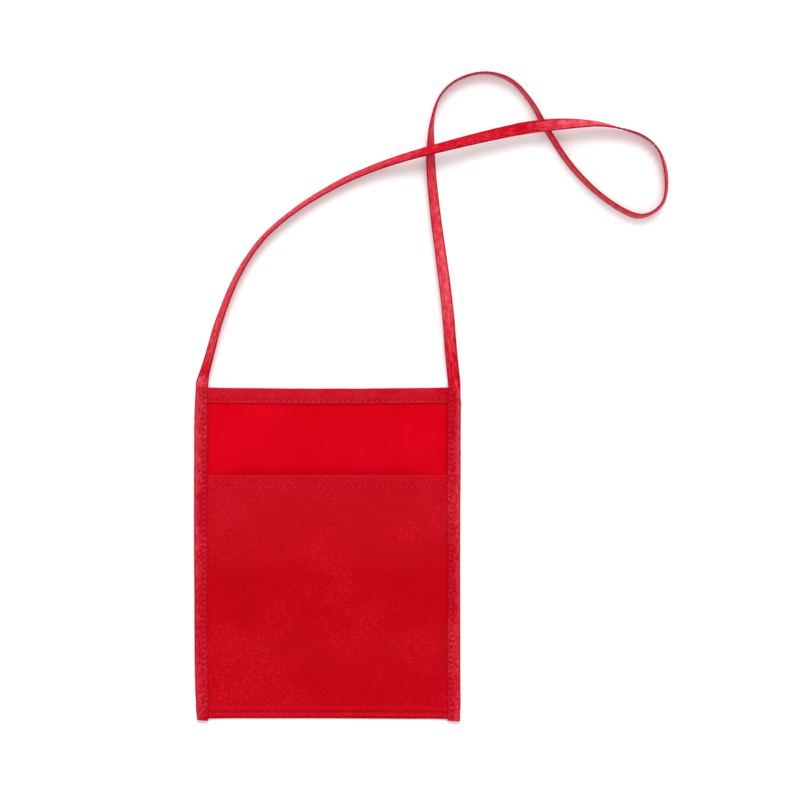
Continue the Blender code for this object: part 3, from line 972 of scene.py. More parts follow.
@dataclass
class PocketFront:
    """The pocket's front, from the crease up to its hemmed mouth, as a left and a right half."""

    lie: Lie = LIE
    step: float = 3.5 / 3 * MM
    flap_x: float = 65 * MM
    turn_length: float = 1.6 * MM
    # How pale the cloth is, as rows of Y in millimetres and share.
    paleness_and_light: tuple[tuple[float, float], ...] = (
        (-94.5, 0.0), (-75, 0.0), (-55, 0.3), (-42, 0.0), (-15, 0.0), (4, 0.6), (22, 0.9),
        (60, 1.0))

    def paleness_at(self, _x: float, station: Station) -> float:
        """How pale the cloth is: palest by the mouth, with a faint paler band low down."""
        return eased_table(self.paleness_and_light, station.y / MM)

    def line(self) -> FoldLine:
        """The cloth's line, from the crease up to the mouth and back down under it."""
        lie = self.lie
        line = FoldLine()
        line.go(lie.crease_y, lie.top)
        line.run(-90 * MM, lie.top, 0.6 * MM)
        line.run(30 * MM, lie.top, 1.3 * MM)
        line.run(lie.pocket_seam_y - 2.4 * MM, lie.top, 0.9 * MM)
        line.run(lie.pocket_seam_y + 1.2 * MM, lie.top, 0.4 * MM)
        centre = lie.mouth_y - lie.roll - lie.cloth / 2
        line.run(centre, lie.top, 0.7 * MM)
        line.roll(centre, lie.top - lie.roll, lie.roll, 90, -90)
        line.run(lie.mouth_y - lie.hem, lie.top - 2 * lie.roll, 0.9 * MM)
        return line

    def cut_at(self, y: float) -> float:
        """The length of cloth from the crease up to a height on the outer face."""
        flat = y - self.lie.crease_y
        return flat + (0.06 * MM if y >= self.lie.mouth_y else 0.0)

    def height(self, x: float, y: float) -> float:
        """How far the outer face stands off its fold line, apart from the hem's own shape."""
        lie = self.lie
        calm = ease((70 * MM - abs(x)) / (10 * MM)) * ease((y - lie.crease_y) / (12 * MM))
        soft = 0.28 * ripple(x, y * 0.8, 38 * MM, 21) + 0.1 * ripple(x, y, 13 * MM, 22)
        soft += 0.05 * ripple(x, y, 5 * MM, 24)
        return lie.side_rise(x) + lie.pocket_lift(x, y) + calm * soft * MM

    def hem(self, x: float, y: float) -> float:
        """The mouth hem's own shape outside: a stitched furrow with a soft roll above it."""
        lie = self.lie
        open_share = ease((73 * MM - abs(x)) / (4 * MM))
        seam = bell(y - lie.pocket_seam_y, 0.6 * MM)
        furrow = -0.14 * MM * seam - 0.1 * MM * seam * lie.pucker(x, lie.hem_pitch)
        up_hem = min(max((y - lie.pocket_seam_y) / (7.2 * MM), 0.0), 1.0)
        roll = 0.16 * MM * math.sin(math.pi * up_hem)
        roll *= 1 + 0.8 * ripple(x, y, 8 * MM, 23)
        edge_under = 0.1 * MM * ease((y - lie.pocket_seam_y + 2.2 * MM) / (1 * MM)) * ease(
            (lie.pocket_seam_y + 4 * MM - y) / (4 * MM))
        return (furrow + roll + edge_under) * open_share

    def place(self, x: float, station: Station) -> tuple[float, float, float]:
        """Set down one point of the cloth."""
        lie = self.lie
        y = station.y
        z = station.z + self.height(x, y)
        on_flap = station.z < lie.top - 1e-7
        if not on_flap:
            z += self.hem(x, y)
        ridge = 0.2 * MM * bell(y + 92 * MM, 1.3 * MM) * ease((70 * MM - abs(x)) / (6 * MM))
        mouth = bell(y - lie.mouth_y, 3 * MM) * 0.16 * MM * ripple(x, 0, 12 * MM, 25)
        return (lie.aside(x, y), y + mouth + lie.bottom_sag(x, y), z + ridge)

    def build_half(self, side: Side, finishes: Finishes) -> bpy.types.Object:
        """Make one half of the front.

        Args:
            side: The half to make.
            finishes: The pouch's finishes.

        Returns:
            The half, sewn down at its side and free at the pouch's middle.
        """
        lie = self.lie
        line = self.line()
        out = [0.0, 0.3 * MM] + spread_columns(self.step, lie.edge_x, self.step)
        columns = sorted(side.value * x for x in out)
        name = f"pocket_front_{side.word}"
        obj = cloth_sheet(name, columns, line, self.place, lie.cloth, finishes.front,
                          finishes.inner, self.paleness_at)
        self.trim_flap(obj, line)
        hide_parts("front_panel", "pocket_hem", f"{side.word}_front_margin")
        self.hinge(obj, side)
        return obj

    def hinge(self, obj: bpy.types.Object, side: Side) -> None:
        """Bake a piece's placement into its mesh."""
        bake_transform(obj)

    def trim_flap(self, obj: bpy.types.Object, line: FoldLine) -> None:
        """Cut the hem's flap short of the binding, where there is no room for it."""
        turn = line.stations[-1].cut - self.lie.hem + self.turn_length
        mesh = obj.data
        uv = mesh.uv_layers["cut"]
        spare = set()
        for polygon in mesh.polygons:
            spots = [uv.data[index].uv for index in polygon.loop_indices]
            on_flap = min(spot.y for spot in spots) > turn
            if on_flap and min(abs(spot.x) for spot in spots) > self.flap_x:
                spare.add(polygon.index)
        shaped = bmesh.new()
        shaped.from_mesh(mesh)
        shaped.faces.ensure_lookup_table()
        bmesh.ops.delete(shaped, geom=[shaped.faces[index] for index in spare], context="FACES")
        open_edges = [edge for edge in shaped.edges if edge.is_boundary]
        bmesh.ops.holes_fill(shaped, edges=open_edges, sides=0)
        bmesh.ops.recalc_face_normals(shaped, faces=shaped.faces)
        shaped.to_mesh(mesh)
        shaped.free()
        smooth(obj, 60)

    def build(self, finishes: Finishes) -> list[bpy.types.Object]:
        """Make both halves."""
        return [self.build_half(side, finishes) for side in Side]


# ---------------------------------------------------------------------------------------------
# Folded tape: the bindings and the neck strap
# ---------------------------------------------------------------------------------------------


@dataclass(frozen=True)
class Ring:
    """One cross-section of the folded tape."""

    centre: Vector
    wide: Vector
    up: Vector
    half: float
    front: tuple[float, ...]
    back: tuple[float, ...]
    length: float
    # How pale the tape is here, partly painted sheen and shade.
    tone_and_light: float = 0.0


@dataclass(frozen=True)
class TapeShape:
    """The folded tape's cross-section, from its open edges to its fold."""

    thickness: float = 0.42 * MM
    width: float = 8 * MM
    seam_in: float = 2.1 * MM
    fold_take: float = 0.9 * MM
    # How far in from the open edges each point of a leg lies, in millimetres.
    stations: tuple[float, ...] = (0.0, 0.7, 1.4, 2.1, 2.8, 3.6, 4.7, 5.8)
    arc_steps: int = 6

    @property
    def cut_width(self) -> float:
        """The tape's width before it is folded."""
        return 2 * self.width + self.fold_take

    def profile(self, edge: float, seam: float, puff: float) -> tuple[float, ...]:
        """Heights of one leg at its open edge, at its seam, and where it puffs out."""
        heights = []
        for at in self.stations:
            away = abs(at * MM - self.seam_in)
            far = puff if at * MM > self.seam_in else edge
            reach = 2.6 * MM if at * MM > self.seam_in else 1.9 * MM
            heights.append(mix(seam, far, ease(away / reach)))
        return tuple(heights)

    def outline(self, ring: Ring) -> tuple[Outline, Outline, list[float]]:
        """The two faces of the tape in one ring.

        Args:
            ring: The cross-section.

        Returns:
            The outer face's points, the inner face's points, and the tape's cut width at each.
        """
        scale = 2 * ring.half / self.width
        places = [ring.half - at * MM * scale for at in self.stations]
        middle = list(zip(places, ring.front))
        top, low = ring.front[-1], ring.back[-1]
        radius = (top + low) / 2
        reach = min(radius, 1.2 * MM)
        turn = -ring.half + self.thickness / 2 + reach
        for index in range(self.arc_steps + 1):
            angle = math.pi * index / self.arc_steps
            middle.append((turn - reach * math.sin(angle),
                           (top - low) / 2 + radius * math.cos(angle)))
        middle += [(place, -high) for place, high in zip(reversed(places), reversed(ring.back))]
        outer, inner, widths = [], [], []
        used, half = 0.0, self.thickness / 2
        for index, (u, v) in enumerate(middle):
            before, after = middle[max(index - 1, 0)], middle[min(index + 1, len(middle) - 1)]
            across, rise = after[0] - before[0], after[1] - before[1]
            size = math.hypot(across, rise) or 1.0
            normal = (rise / size, -across / size)
            if index:
                used += math.dist(middle[index - 1], (u, v))
            widths.append(used)
            outer.append((u + normal[0] * half, v + normal[1] * half))
            inner.append((u - normal[0] * half, v - normal[1] * half))
        return outer, inner, [value * (self.cut_width / used) for value in widths]

    def loft(self, name: str, rings: Sequence[Ring], finish: bpy.types.Material,
             inside: bpy.types.Material) -> bpy.types.Object:
        """Join the rings into one closed tape.

        Args:
            name: The piece's name.
            rings: The cross-sections along the tape.
            finish: The finish of the outer face.
            inside: The finish of the inner face.

        Returns:
            The tape, with its flat cut as its UV map.
        """
        shaped = bmesh.new()
        cut = shaped.loops.layers.uv.new("cut")
        tone_and_light = shaped.verts.layers.float.new("tone_and_light")
        flat: dict[bmesh.types.BMVert, tuple[float, float]] = {}
        loops: list[list[bmesh.types.BMVert]] = []
        for ring in rings:
            outer, inner, widths = self.outline(ring)
            loop = []
            for (u, v), wide in zip(outer + inner[::-1], widths + widths[::-1]):
                vertex = shaped.verts.new(ring.centre + ring.wide * u + ring.up * v)
                vertex[tone_and_light] = ring.tone_and_light
                flat[vertex] = (wide, ring.length)
                loop.append(vertex)
            loops.append(loop)
        count = len(loops[0])
        half = count // 2
        for first, second in zip(loops, loops[1:]):
            for index in range(count):
                after = (index + 1) % count
                face = shaped.faces.new((first[index], first[after], second[after], second[index]))
                face.material_index = 1 if half <= index < count - 1 else 0
        for loop in (loops[0], loops[-1]):
            for index in range(half - 1):
                shaped.faces.new((loop[index], loop[index + 1], loop[count - 2 - index],
                                  loop[count - 1 - index]))
        bmesh.ops.recalc_face_normals(shaped, faces=shaped.faces)
        for face in shaped.faces:
            for corner in face.loops:
                corner[cut].uv = flat[corner.vert]
        mesh = bpy.data.meshes.new(name)
        shaped.to_mesh(mesh)
        shaped.free()
        mesh.materials.append(finish)
        mesh.materials.append(inside)
        obj = bpy.data.objects.new(name, mesh)
        bpy.context.scene.collection.objects.link(obj)
        smooth(obj, 60)
        LOG.info("%s: %d faces", name, len(mesh.polygons))
        return obj


TAPE = TapeShape()


@dataclass
class SideBinding:
    """The folded tape over one side of the pouch, from its cut end to the neck strap."""

    side: Side
    start_length: float
    lie: Lie = LIE
    shape: TapeShape = TAPE
    step: float = 0.8 * MM
    middle_z: float = 1.45 * MM
    top_y: float = 100.3 * MM
    crease_depth: float = 0.5 * MM
    # How pale the tape is, as rows of Y in millimetres and share.
    paleness_and_light: tuple[tuple[float, float], ...] = (
        (-100, 0.5), (-70, 0.35), (-40, 0.45), (-5, 0.5), (25, 0.75), (60, 0.9), (100.3, 0.8))
    creases: tuple[float, ...] = (-15.5 * MM, -28 * MM, -43.7 * MM)

    def heights(self, y: float) -> tuple[tuple[float, ...], tuple[float, ...]]:
        """The front and back legs' heights off the tape's middle plane at one place."""
        lie, shape, seed = self.lie, self.shape, 31 + self.side.value
        pulled = lie.pucker(self.along(y), lie.binding_pitch)
        front = list(shape.profile(0.74 * MM, 0.63 * MM - 0.1 * MM * pulled, 1.2 * MM))
        back = list(shape.profile(1.2 * MM, 1.0 * MM - 0.08 * MM * pulled, 1.22 * MM))
        for index, at in enumerate(shape.stations):
            free = min(abs(at * MM - shape.seam_in) / (2 * MM), 1.0)
            if at * MM > shape.seam_in:
                slanted = y + 0.55 * (at * MM - shape.seam_in)
                front[index] -= self.crease_depth * free * self.creased(slanted)
            front[index] += free * MM * (0.16 * ripple(at * 1.6 * MM, y, 6 * MM, seed)
                                         + 0.12 * ripple(at * 1.6 * MM, y, 15 * MM, seed + 2))
        return tuple(front), tuple(back)

    def creased(self, y: float) -> float:
        """1 in the left binding's slanting creases and 0 between them."""
        if self.side is Side.RIGHT:
            return 0.0
        return sum(bell(y - place - 1.6 * MM, 0.7 * MM) for place in self.creases)

    def along(self, y: float) -> float:
        """The tape's own length at a height on the pouch."""
        return self.start_length - self.side.value * (y - self.top_y)

    def edges(self, y: float) -> tuple[float, float]:
        """The fold's and the open edges' distances from the pouch's middle."""
        lie = self.lie
        return (lie.half_width - lie.outer_inset(self.side, y),
                lie.inner_x - lie.inner_inset(self.side, y))

    def ring(self, y: float) -> Ring:
        """One cross-section of the binding."""
        outer, inner = self.edges(y)
        front, back = self.heights(y)
        seed = 41 + self.side.value
        half = (outer - inner) / 2 + 0.08 * MM * ripple(0, y, 7 * MM, seed)
        centre = Vector((self.side.value * (outer + inner) / 2, y, self.middle_z))
        wide = Vector((-self.side.value, 0, 0))
        share = ease((y - 99.3 * MM) / (1.0 * MM))
        half = mix(half, 3.7 * MM, ease((y - 92 * MM) / (8 * MM)))
        front, back = (tuple(mix(high, 0.9 * high, share) for high in leg) for leg in (front, back))
        # Paleness from the table, darkened in the left binding's creases as painted shade.
        tone_and_light = eased_table(self.paleness_and_light, y / MM) * (1 - 0.8 * self.creased(y + 2 * MM))
        return Ring(centre, wide, Vector((0, 0, 1)), half, front, back, self.along(y), tone_and_light)

    def build(self, finishes: Finishes) -> bpy.types.Object:
        """Make the binding and put it on the pouch."""
        name = f"{self.side.word}_binding_tape"
        rings = [self.ring(y) for y in spread_columns(-self.lie.half_height, self.top_y, self.step)]
        if self.side is Side.RIGHT:
            rings.reverse()
        obj = self.shape.loft(name, rings, finishes.binding, finishes.inner)
        self.cut_end(obj)
        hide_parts(f"{self.side.word}_binding")
        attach(obj, Body.POUCH.value)
        return obj

    def cut_end(self, obj: bpy.types.Object) -> None:
        """Slant the cut end at the bottom a little, as scissors leave it."""
        low = -self.lie.half_height
        for vertex in obj.data.vertices:
            near = ease((low + 6 * MM - vertex.co.y) / (6 * MM))
            out = abs(vertex.co.x) - 75 * MM
            if self.side is Side.LEFT:
                shift = 0.45 * MM + out * 0.1
            else:
                shift = 0.1 * MM - out * 0.06
            vertex.co.y += near * shift


@dataclass
class NeckStrap:
    """The folded tape that leaves the left binding, loops above the pouch and comes back."""

    lie: Lie = LIE
    shape: TapeShape = TAPE
    step: float = 0.8 * MM
    width: float = 7.4 * MM
    thickness: float = 0.9 * MM
    settle: float = 4.2 * MM
    bend_from: float = 100.6 * MM
    bend_to: float = 105.6 * MM
    whole_length: float = 743 * MM
    # How pale the tape is, as rows of length in millimetres and share: a painted sheen, paler where
    # the tape leans or faces the light.
    paleness_and_light: tuple[tuple[float, float], ...] = (
        (0, 0.5), (3, 0.75), (5, 0.75), (9, 0.0), (14, 0.2), (20, 0.45), (42, 0.6), (70, 0.7),
        (96, 0.6), (123, 0.7), (152, 0.55), (195, 0.35), (215, 0.0), (257, 0.05), (271, 0.0),
        (284, 0.5), (299, 0.8), (328, 1), (354, 0.75), (388, 0.9), (423, 0.8), (459, 0.75),
        (481, 0.4), (501, 0.95), (551, 1), (580, 0.9), (596, 0.5), (637, 0.6), (664, 0.8),
        (693, 0.8), (722, 0.3), (738, 0.05), (742, 0.2))
    # Where the strap lies: X, Y, and the height of its lower edge in millimetres, and its lean
    # in degrees.
    route: tuple[tuple[float, float, float, float], ...] = (
        (-75.3, 100.3, 1.0, 0), (-75.0, 103.2, 1.0, 6), (-73.8, 108.2, 0.7, 34),
        (-70.6, 119.5, 0.2, 45), (-64.6, 140.6, 0.1, 54), (-54.0, 166.5, 0.1, 62),
        (-39.6, 188.2, 0.1, 67), (-19.5, 206.0, 0.1, 67), (5.0, 221.2, 0.1, 61),
        (26.0, 230.7, 1.2, 57), (45.0, 237.0, 4.6, 50), (64.2, 242.2, 6.9, 42),
        (85.0, 247.6, 6.4, 31), (105.0, 252.3, 6.6, 18), (119.0, 255.0, 7.4, 2),
        (132.0, 256.6, 7.6, 10), (147.0, 257.6, 5.8, 37), (162.0, 257.4, 3.0, 66),
        (176.0, 254.8, 0.8, 84), (188.6, 250.6, 0.1, 89), (197.8, 243.0, 0.1, 80),
        (202.2, 231.6, 0.1, 73), (203.0, 219.5, 0.1, 75), (200.2, 209.6, 0.1, 80),
        (191.8, 203.4, 0.1, 82), (182.6, 203.4, 0.1, 74), (169.5, 210.6, 0.1, 76),
        (156.3, 221.4, 0.1, 74), (143.6, 235.6, 0.1, 73), (131.6, 254.0, 0.1, 72),
        (121.5, 271.4, 0.1, 77), (109.6, 283.9, 0.1, 83), (94.2, 288.4, 0.1, 90),
        (78.2, 284.3, 0.1, 90), (67.6, 274.6, 0.1, 90), (63.0, 260.4, 0.1, 78),
        (62.0, 245.0, 0.1, 57), (62.3, 229.0, 0.1, 45), (64.8, 204.0, 0.1, 37),
        (68.3, 177.5, 0.8, 29), (71.9, 148.5, 2.2, 19), (74.3, 119.5, 2.0, 10),
        (75.9, 104.0, 1.05, 1), (76.1, 100.3, 1.0, 0))
    rings: list[Ring] = field(default_factory=list)

    def __post_init__(self) -> None:
        """Work out the strap's rings once, for its tape and for its stitches."""
        self.rings = self.lay()

    def smooth_route(self) -> list[list[float]]:
        """Read the route as a smooth curve, with a point every step along it."""
        ends = [self.route[0], *self.route, self.route[-1]]
        dense, parts = [], 40
        for pieces in zip(ends, ends[1:], ends[2:], ends[3:]):
            for index in range(parts):
                dense.append([curve_point(*values, index / parts) for values in zip(*pieces)])
        dense.append(list(self.route[-1]))
        gone = [0.0]
        for start, end in zip(dense, dense[1:]):
            gone.append(gone[-1] + math.dist(start[:3], end[:3]))
        count = round(gone[-1] * MM / self.step)
        picked, place = [], 0
        for index in range(count + 1):
            target = gone[-1] * index / count
            while place < len(dense) - 2 and gone[place + 1] < target:
                place += 1
            share = (target - gone[place]) / max(gone[place + 1] - gone[place], 1e-9)
            picked.append([mix(a, b, share) for a, b in zip(dense[place], dense[place + 1])])
        return picked

    def lay(self) -> list[Ring]:
        """Turn the route into the strap's cross-sections."""
        points = self.smooth_route()
        middles = []
        for x, y, rest, lean in points:
            angle = math.radians(lean)
            high = (rest * MM + self.width / 2 * math.sin(angle)
                    + self.thickness / 2 * math.cos(angle))
            middles.append(Vector((x * MM, y * MM, high)))
        rings, gone = [], 0.0
        total = sum((b - a).length for a, b in zip(middles, middles[1:]))
        for index, (middle, point) in enumerate(zip(middles, points)):
            if index:
                gone += (middle - middles[index - 1]).length
            before, after = middles[max(index - 1, 0)], middles[min(index + 1, len(middles) - 1)]
            ahead = (after - before).normalized()
            right = Vector((ahead.y, -ahead.x, 0)).normalized()
            angle = math.radians(point[3])
            wide = (right * math.cos(angle) + Vector((0, 0, 1)) * math.sin(angle)).normalized()
            up = wide.cross(ahead).normalized()
            rings.append(self.ring(middle, wide, up, gone, total))
        return rings

    def ring(self, middle: Vector, wide: Vector, up: Vector, gone: float, total: float) -> Ring:
        """One cross-section of the strap.

        Args:
            middle: The middle of the tape.
            wide: The direction from the fold to the open edges.
            up: The direction that the front leg faces.
            gone: The strap's length up to here.
            total: The strap's whole length.

        Returns:
            The ring, which opens out to the binding's own shape at either end.
        """
        lie, shape = self.lie, self.shape
        pulled = lie.pucker(gone, lie.binding_pitch)
        flat = self.thickness / 2 - shape.thickness / 2
        soft = 0.5 + 0.5 * ripple(gone, 0, 11 * MM, 51)
        front = list(shape.profile(flat + 0.02 * MM, flat - 0.03 * MM - 0.02 * MM * pulled,
                                   flat + 0.16 * MM * soft))
        back = list(shape.profile(flat + 0.02 * MM, flat - 0.03 * MM - 0.02 * MM * pulled,
                                  flat + 0.12 * MM * (1 - soft)))
        for index, at in enumerate(shape.stations):
            bow = 0.09 * MM * ripple(gone, at * 2 * MM, 8 * MM, 52)
            front[index] += bow
            back[index] -= bow
        open_front = shape.profile(0.74 * MM, 0.56 * MM, 1.2 * MM)
        open_back = shape.profile(1.2 * MM, 0.94 * MM, 1.22 * MM)
        from_end = min(gone, total - gone)
        share = 1 - ease(from_end / self.settle)
        front = [mix(a, 0.9 * b, share) for a, b in zip(front, open_front)]
        back = [mix(a, 0.9 * b, share) for a, b in zip(back, open_back)]
        half = self.width / 2 + 0.07 * MM * ripple(gone, 0, 6 * MM, 53) * (1 - share)
        # The ring's paleness from the table is a painted sheen, paler where the tape leans or faces
        # the light.
        return Ring(middle, wide, up, half, tuple(front), tuple(back), gone,
                    eased_table(self.paleness_and_light, gone / MM))

    @property
    def length(self) -> float:
        """The strap's length along its middle."""
        return self.rings[-1].length

    def hinge(self, obj: bpy.types.Object) -> None:
        """Bake a piece's placement into its mesh."""
        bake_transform(obj)

    def build(self, finishes: Finishes) -> bpy.types.Object:
        """Make the strap's tape."""
        obj = self.shape.loft("neck_strap_tape", self.rings, finishes.strap, finishes.inner)
        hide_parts("neck_strap")
        self.hinge(obj)
        return obj

    def declare(self, obj: bpy.types.Object, stitching: bpy.types.Object) -> None:
        """Work out the strap's centres, and keep none of them."""
        tuple(self.rings[0].centre)
        [tuple(ring.centre) for ring in self.rings]


# ---------------------------------------------------------------------------------------------
# Stitching
# ---------------------------------------------------------------------------------------------


@dataclass(frozen=True)
class Seat:
    """Where one stitch lies: its middle, its direction, and the way that it faces."""

    middle: Vector
    along: Vector
    up: Vector


@dataclass
class Stitcher:
    """One stitch, modelled once and copied along each row."""

    radius: float = 0.21 * MM
    thickness: float = 0.75
    dip: float = 0.22 * MM
    sway: float = 0.06 * MM
    ply_length: float = 2.6 * MM
    pattern: bpy.types.Mesh | None = None

    def model(self) -> bpy.types.Mesh:
        """Model the stitch: a short bean of thread, one unit long, whose ends turn down."""
        deselect_all()
        bpy.ops.mesh.primitive_uv_sphere_add(segments=8, ring_count=6, radius=0.5)
        obj = bpy.context.object
        bpy.ops.object.mode_set(mode="EDIT")
        bpy.ops.mesh.select_all(action="SELECT")
        bpy.ops.transform.rotate(value=math.pi / 2, orient_axis="Y", center_override=(0, 0, 0))
        bpy.ops.object.mode_set(mode="OBJECT")
        mesh = obj.data.copy()
        mesh.uv_layers.active.name = "cut"
        bpy.data.objects.remove(obj)
        return mesh

    def sew(self, name: str, seats: Iterable[Seat], length: float, finish: bpy.types.Material,
            tails: Sequence[Sequence[Vector]] = ()) -> bpy.types.Object:
        """Copy the stitch to every seat of a row.

        Args:
            name: The row's name.
            seats: Where the stitches lie.
            length: One stitch's length.
            finish: The thread's finish.
            tails: Loose thread ends, as the points that each follows.

        Returns:
            The row as one piece.
        """
        self.pattern = self.pattern or self.model()
        shaped = bmesh.new()
        cut = shaped.loops.layers.uv.new("cut")
        for number, seat in enumerate(seats):
            start = len(shaped.verts)
            shaped.from_mesh(self.pattern)
            shaped.verts.ensure_lookup_table()
            side = seat.up.cross(seat.along).normalized()
            for vertex in shaped.verts[start:]:
                x, y, z = vertex.co
                sway = self.sway * noise.noise(Vector((number * 3.7, x * 2, 9.1)))
                fall = self.dip * (4 * x * x) ** 1.5
                vertex.co = (seat.middle + seat.along * (x * length)
                             + side * (y * 2 * self.radius + sway)
                             + seat.up * (z * 2 * self.radius * self.thickness - fall))
        for face in shaped.faces:
            for corner in face.loops:
                corner[cut].uv = corner[cut].uv * self.ply_length
        for points in tails:
            self.tail(shaped, points)
        shaped.normal_update()
        bmesh.ops.recalc_face_normals(shaped, faces=shaped.faces)
        mesh = bpy.data.meshes.new(name)
        shaped.to_mesh(mesh)
        shaped.free()
        mesh.materials.append(finish)
        obj = bpy.data.objects.new(name, mesh)
        bpy.context.scene.collection.objects.link(obj)
        smooth(obj, 80)
        LOG.info("%s: %d faces", name, len(mesh.polygons))
        return obj

    def flowing(self, points: Sequence[Vector], steps: int = 5) -> list[Vector]:
        """Run a smooth curve through points."""
        ends = [points[0], *points, points[-1]]
        curve = [curve_point(*pieces, index / steps)
                 for pieces in zip(ends, ends[1:], ends[2:], ends[3:]) for index in range(steps)]
        return [*curve, points[-1]]

    def tail(self, shaped: bmesh.types.BMesh, points: Sequence[Vector]) -> None:
        """Add a loose thread end that follows points, with its ends closed."""
        sides, loops = 8, []
        turns = [2 * math.pi * corner / sides for corner in range(sides)]
        upright, level = Vector((0, 0, 1)), Vector((1, 0, 0))
        points = self.flowing(points)
        for index, point in enumerate(points):
            before, after = points[max(index - 1, 0)], points[min(index + 1, len(points) - 1)]
            ahead = (after - before).normalized()
            first = ahead.cross(upright if abs(ahead.z) < 0.9 else level).normalized()
            second = ahead.cross(first)
            size = self.radius * (0.55 if index in (0, len(points) - 1) else 0.9)
            loops.append([shaped.verts.new(
                point + (first * math.cos(turn) + second * math.sin(turn)) * size)
                for turn in turns])
        for first_loop, second_loop in zip(loops, loops[1:]):
            for index in range(sides):
                after = (index + 1) % sides
                shaped.faces.new((first_loop[index], first_loop[after], second_loop[after],
                                  second_loop[index]))
        shaped.faces.new(loops[0])
        shaped.faces.new(loops[-1])


LOOSE_ENDS = {
    Side.LEFT: ((0, 0, 0), (-0.5, 0.5, 0.3), (-1.1, 0.2, 0.32), (-1.4, -0.5, 0.3),
                (-1.0, -1.1, 0.3), (-0.3, -1.3, 0.3)),
    Side.RIGHT: ((0, 0, 0), (0.4, -0.5, 0.25), (0.9, -0.7, 0.3), (1.3, -0.4, 0.3),
                 (1.5, 0.3, 0.3)),
}
"""How each binding's loose thread end curls away from its seam, in millimetres."""


@dataclass
class Stitching:
    """Every row of stitches on the pouch and its strap."""

    back: BackCloth
    front: PocketFront
    bindings: dict[Side, SideBinding]
    strap: NeckStrap
    stitcher: Stitcher = field(default_factory=Stitcher)
    lie: Lie = LIE
    tape_rise: float = 0.16 * MM
    cloth_rise: float = 0.14 * MM
    tape_gap: float = 0.8 * MM
    cloth_gap: float = 0.9 * MM
    tail_z: float = 2.5 * MM
    left_tail_up: float = 10.6 * MM
    rear_loss: int = 2

    def seats(self, points: Sequence[Vector], ups: Sequence[Vector]) -> list[Seat]:
        """Seat a stitch between each pair of needle holes."""
        return [Seat((a + b) / 2, (b - a).normalized(), up.normalized())
                for a, b, up in zip(points, points[1:], ups)]

    def tape_row(self, rings: Sequence[Ring], shape: TapeShape, facing: int) -> list[Seat]:
        """Seat the stitches of one face of a folded tape.

        Args:
            rings: The tape's cross-sections at its needle holes.
            shape: The tape's shape.
            facing: 1 for the front leg and -1 for the back leg.

        Returns:
            The stitches' seats.
        """
        number = shape.stations.index(shape.seam_in / MM)
        points, ups = [], []
        for ring in rings:
            scale = 2 * ring.half / shape.width
            leg = ring.front if facing > 0 else ring.back
            high = leg[number] + shape.thickness / 2 + self.tape_rise
            points.append(ring.centre + ring.wide * (ring.half - shape.seam_in * scale)
                          + ring.up * high * facing)
            ups.append(ring.up * facing)
        return self.seats(points, ups)

    def sew_binding(self, side: Side, finish: bpy.types.Material) -> bpy.types.Object:
        """Sew one binding, front and back, with a loose end at the bottom."""
        lie, binding = self.lie, self.bindings[side]
        holes = sorted(y for y in (self.hole_y(binding, index) for index in range(-80, 400))
                       if -98.4 * MM < y < 98.8 * MM)
        rings = [binding.ring(y) for y in holes]
        seats = self.tape_row(rings, binding.shape, 1) + self.tape_row(rings, binding.shape, -1)
        end = rings[0].centre + rings[0].wide * (rings[0].half - binding.shape.seam_in)
        end.z = self.tail_z
        if side is Side.LEFT:
            end.y += self.left_tail_up
        tail = [end + Vector(step) * MM for step in LOOSE_ENDS[side]]
        obj = self.stitcher.sew(f"{side.word}_binding_stitches", seats,
                                lie.binding_pitch - self.tape_gap, finish, [tail])
        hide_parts(f"{side.word}_binding_stitching")
        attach(obj, Body.POUCH.value)
        return obj

    def hole_y(self, binding: SideBinding, index: int) -> float:
        """The height of one needle hole on a binding."""
        length = index * self.lie.binding_pitch
        return binding.top_y + (binding.start_length - length) / binding.side.value

    def nearest(self, stations: Iterable[Station], y: float) -> Station:
        """Pick the station that lies nearest to a height."""
        return min(stations, key=lambda station: abs(station.y - y))

    def cloth_row(self, place: Place, station: Station, across: Iterable[float],
                  facing: int) -> list[Seat]:
        """Seat the stitches of one face of a hem.

        Args:
            place: Sets down a point of the cloth.
            station: Where the seam lies on the cloth's line.
            across: The needle holes' places across the pouch.
            facing: 1 for the outer face and -1 for the face beneath.

        Returns:
            The stitches' seats.
        """
        rise = facing * (self.lie.cloth / 2 + self.cloth_rise)
        points = [Vector(place(x, station)) + Vector((0, 0, rise)) for x in across]
        return self.seats(points, [Vector((0, 0, facing))] * len(points))

    def sew_top_hem(self, finish: bpy.types.Material) -> bpy.types.Object:
        """Sew the top hem, front and back."""
        lie = self.lie
        stations = self.back.line().stations
        near = self.nearest((s for s in stations if s.cut < lie.hem), lie.top_seam_y)
        under = self.nearest((s for s in stations if s.cut > lie.hem and s.y > 0), lie.top_seam_y)
        holes = [index * lie.hem_pitch for index in range(-20, 21)]
        rows = [seat for station, facing in ((near, 1), (under, -1))
                for seat in self.cloth_row(self.back.place, station, holes, facing)]
        obj = self.stitcher.sew("top_hem_stitches", rows, lie.hem_pitch - self.cloth_gap, finish)
        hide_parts("top_hem_stitching")
        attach(obj, Body.POUCH.value)
        return obj

    def sew_pocket_hem(self, side: Side, finish: bpy.types.Material) -> bpy.types.Object:
        """Sew half of the pocket's hem, on its outer face and under its flap."""
        lie = self.lie
        stations = self.front.line().stations
        turn = stations[-1].cut - lie.hem
        near = self.nearest((s for s in stations if s.cut < turn), lie.pocket_seam_y)
        under = self.nearest((s for s in stations if s.cut > turn + self.front.turn_length),
                             lie.pocket_seam_y)
        holes = [side.value * index * lie.hem_pitch for index in range(21)]
        rows = self.cloth_row(self.front.place, near, holes, 1)
        rows += self.cloth_row(self.front.place, under, holes[:-self.rear_loss], -1)
        obj = self.stitcher.sew(f"pocket_hem_stitches_{side.word}", rows,
                                lie.hem_pitch - self.cloth_gap, finish)
        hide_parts("pocket_hem_stitching")
        self.front.hinge(obj, side)
        return obj

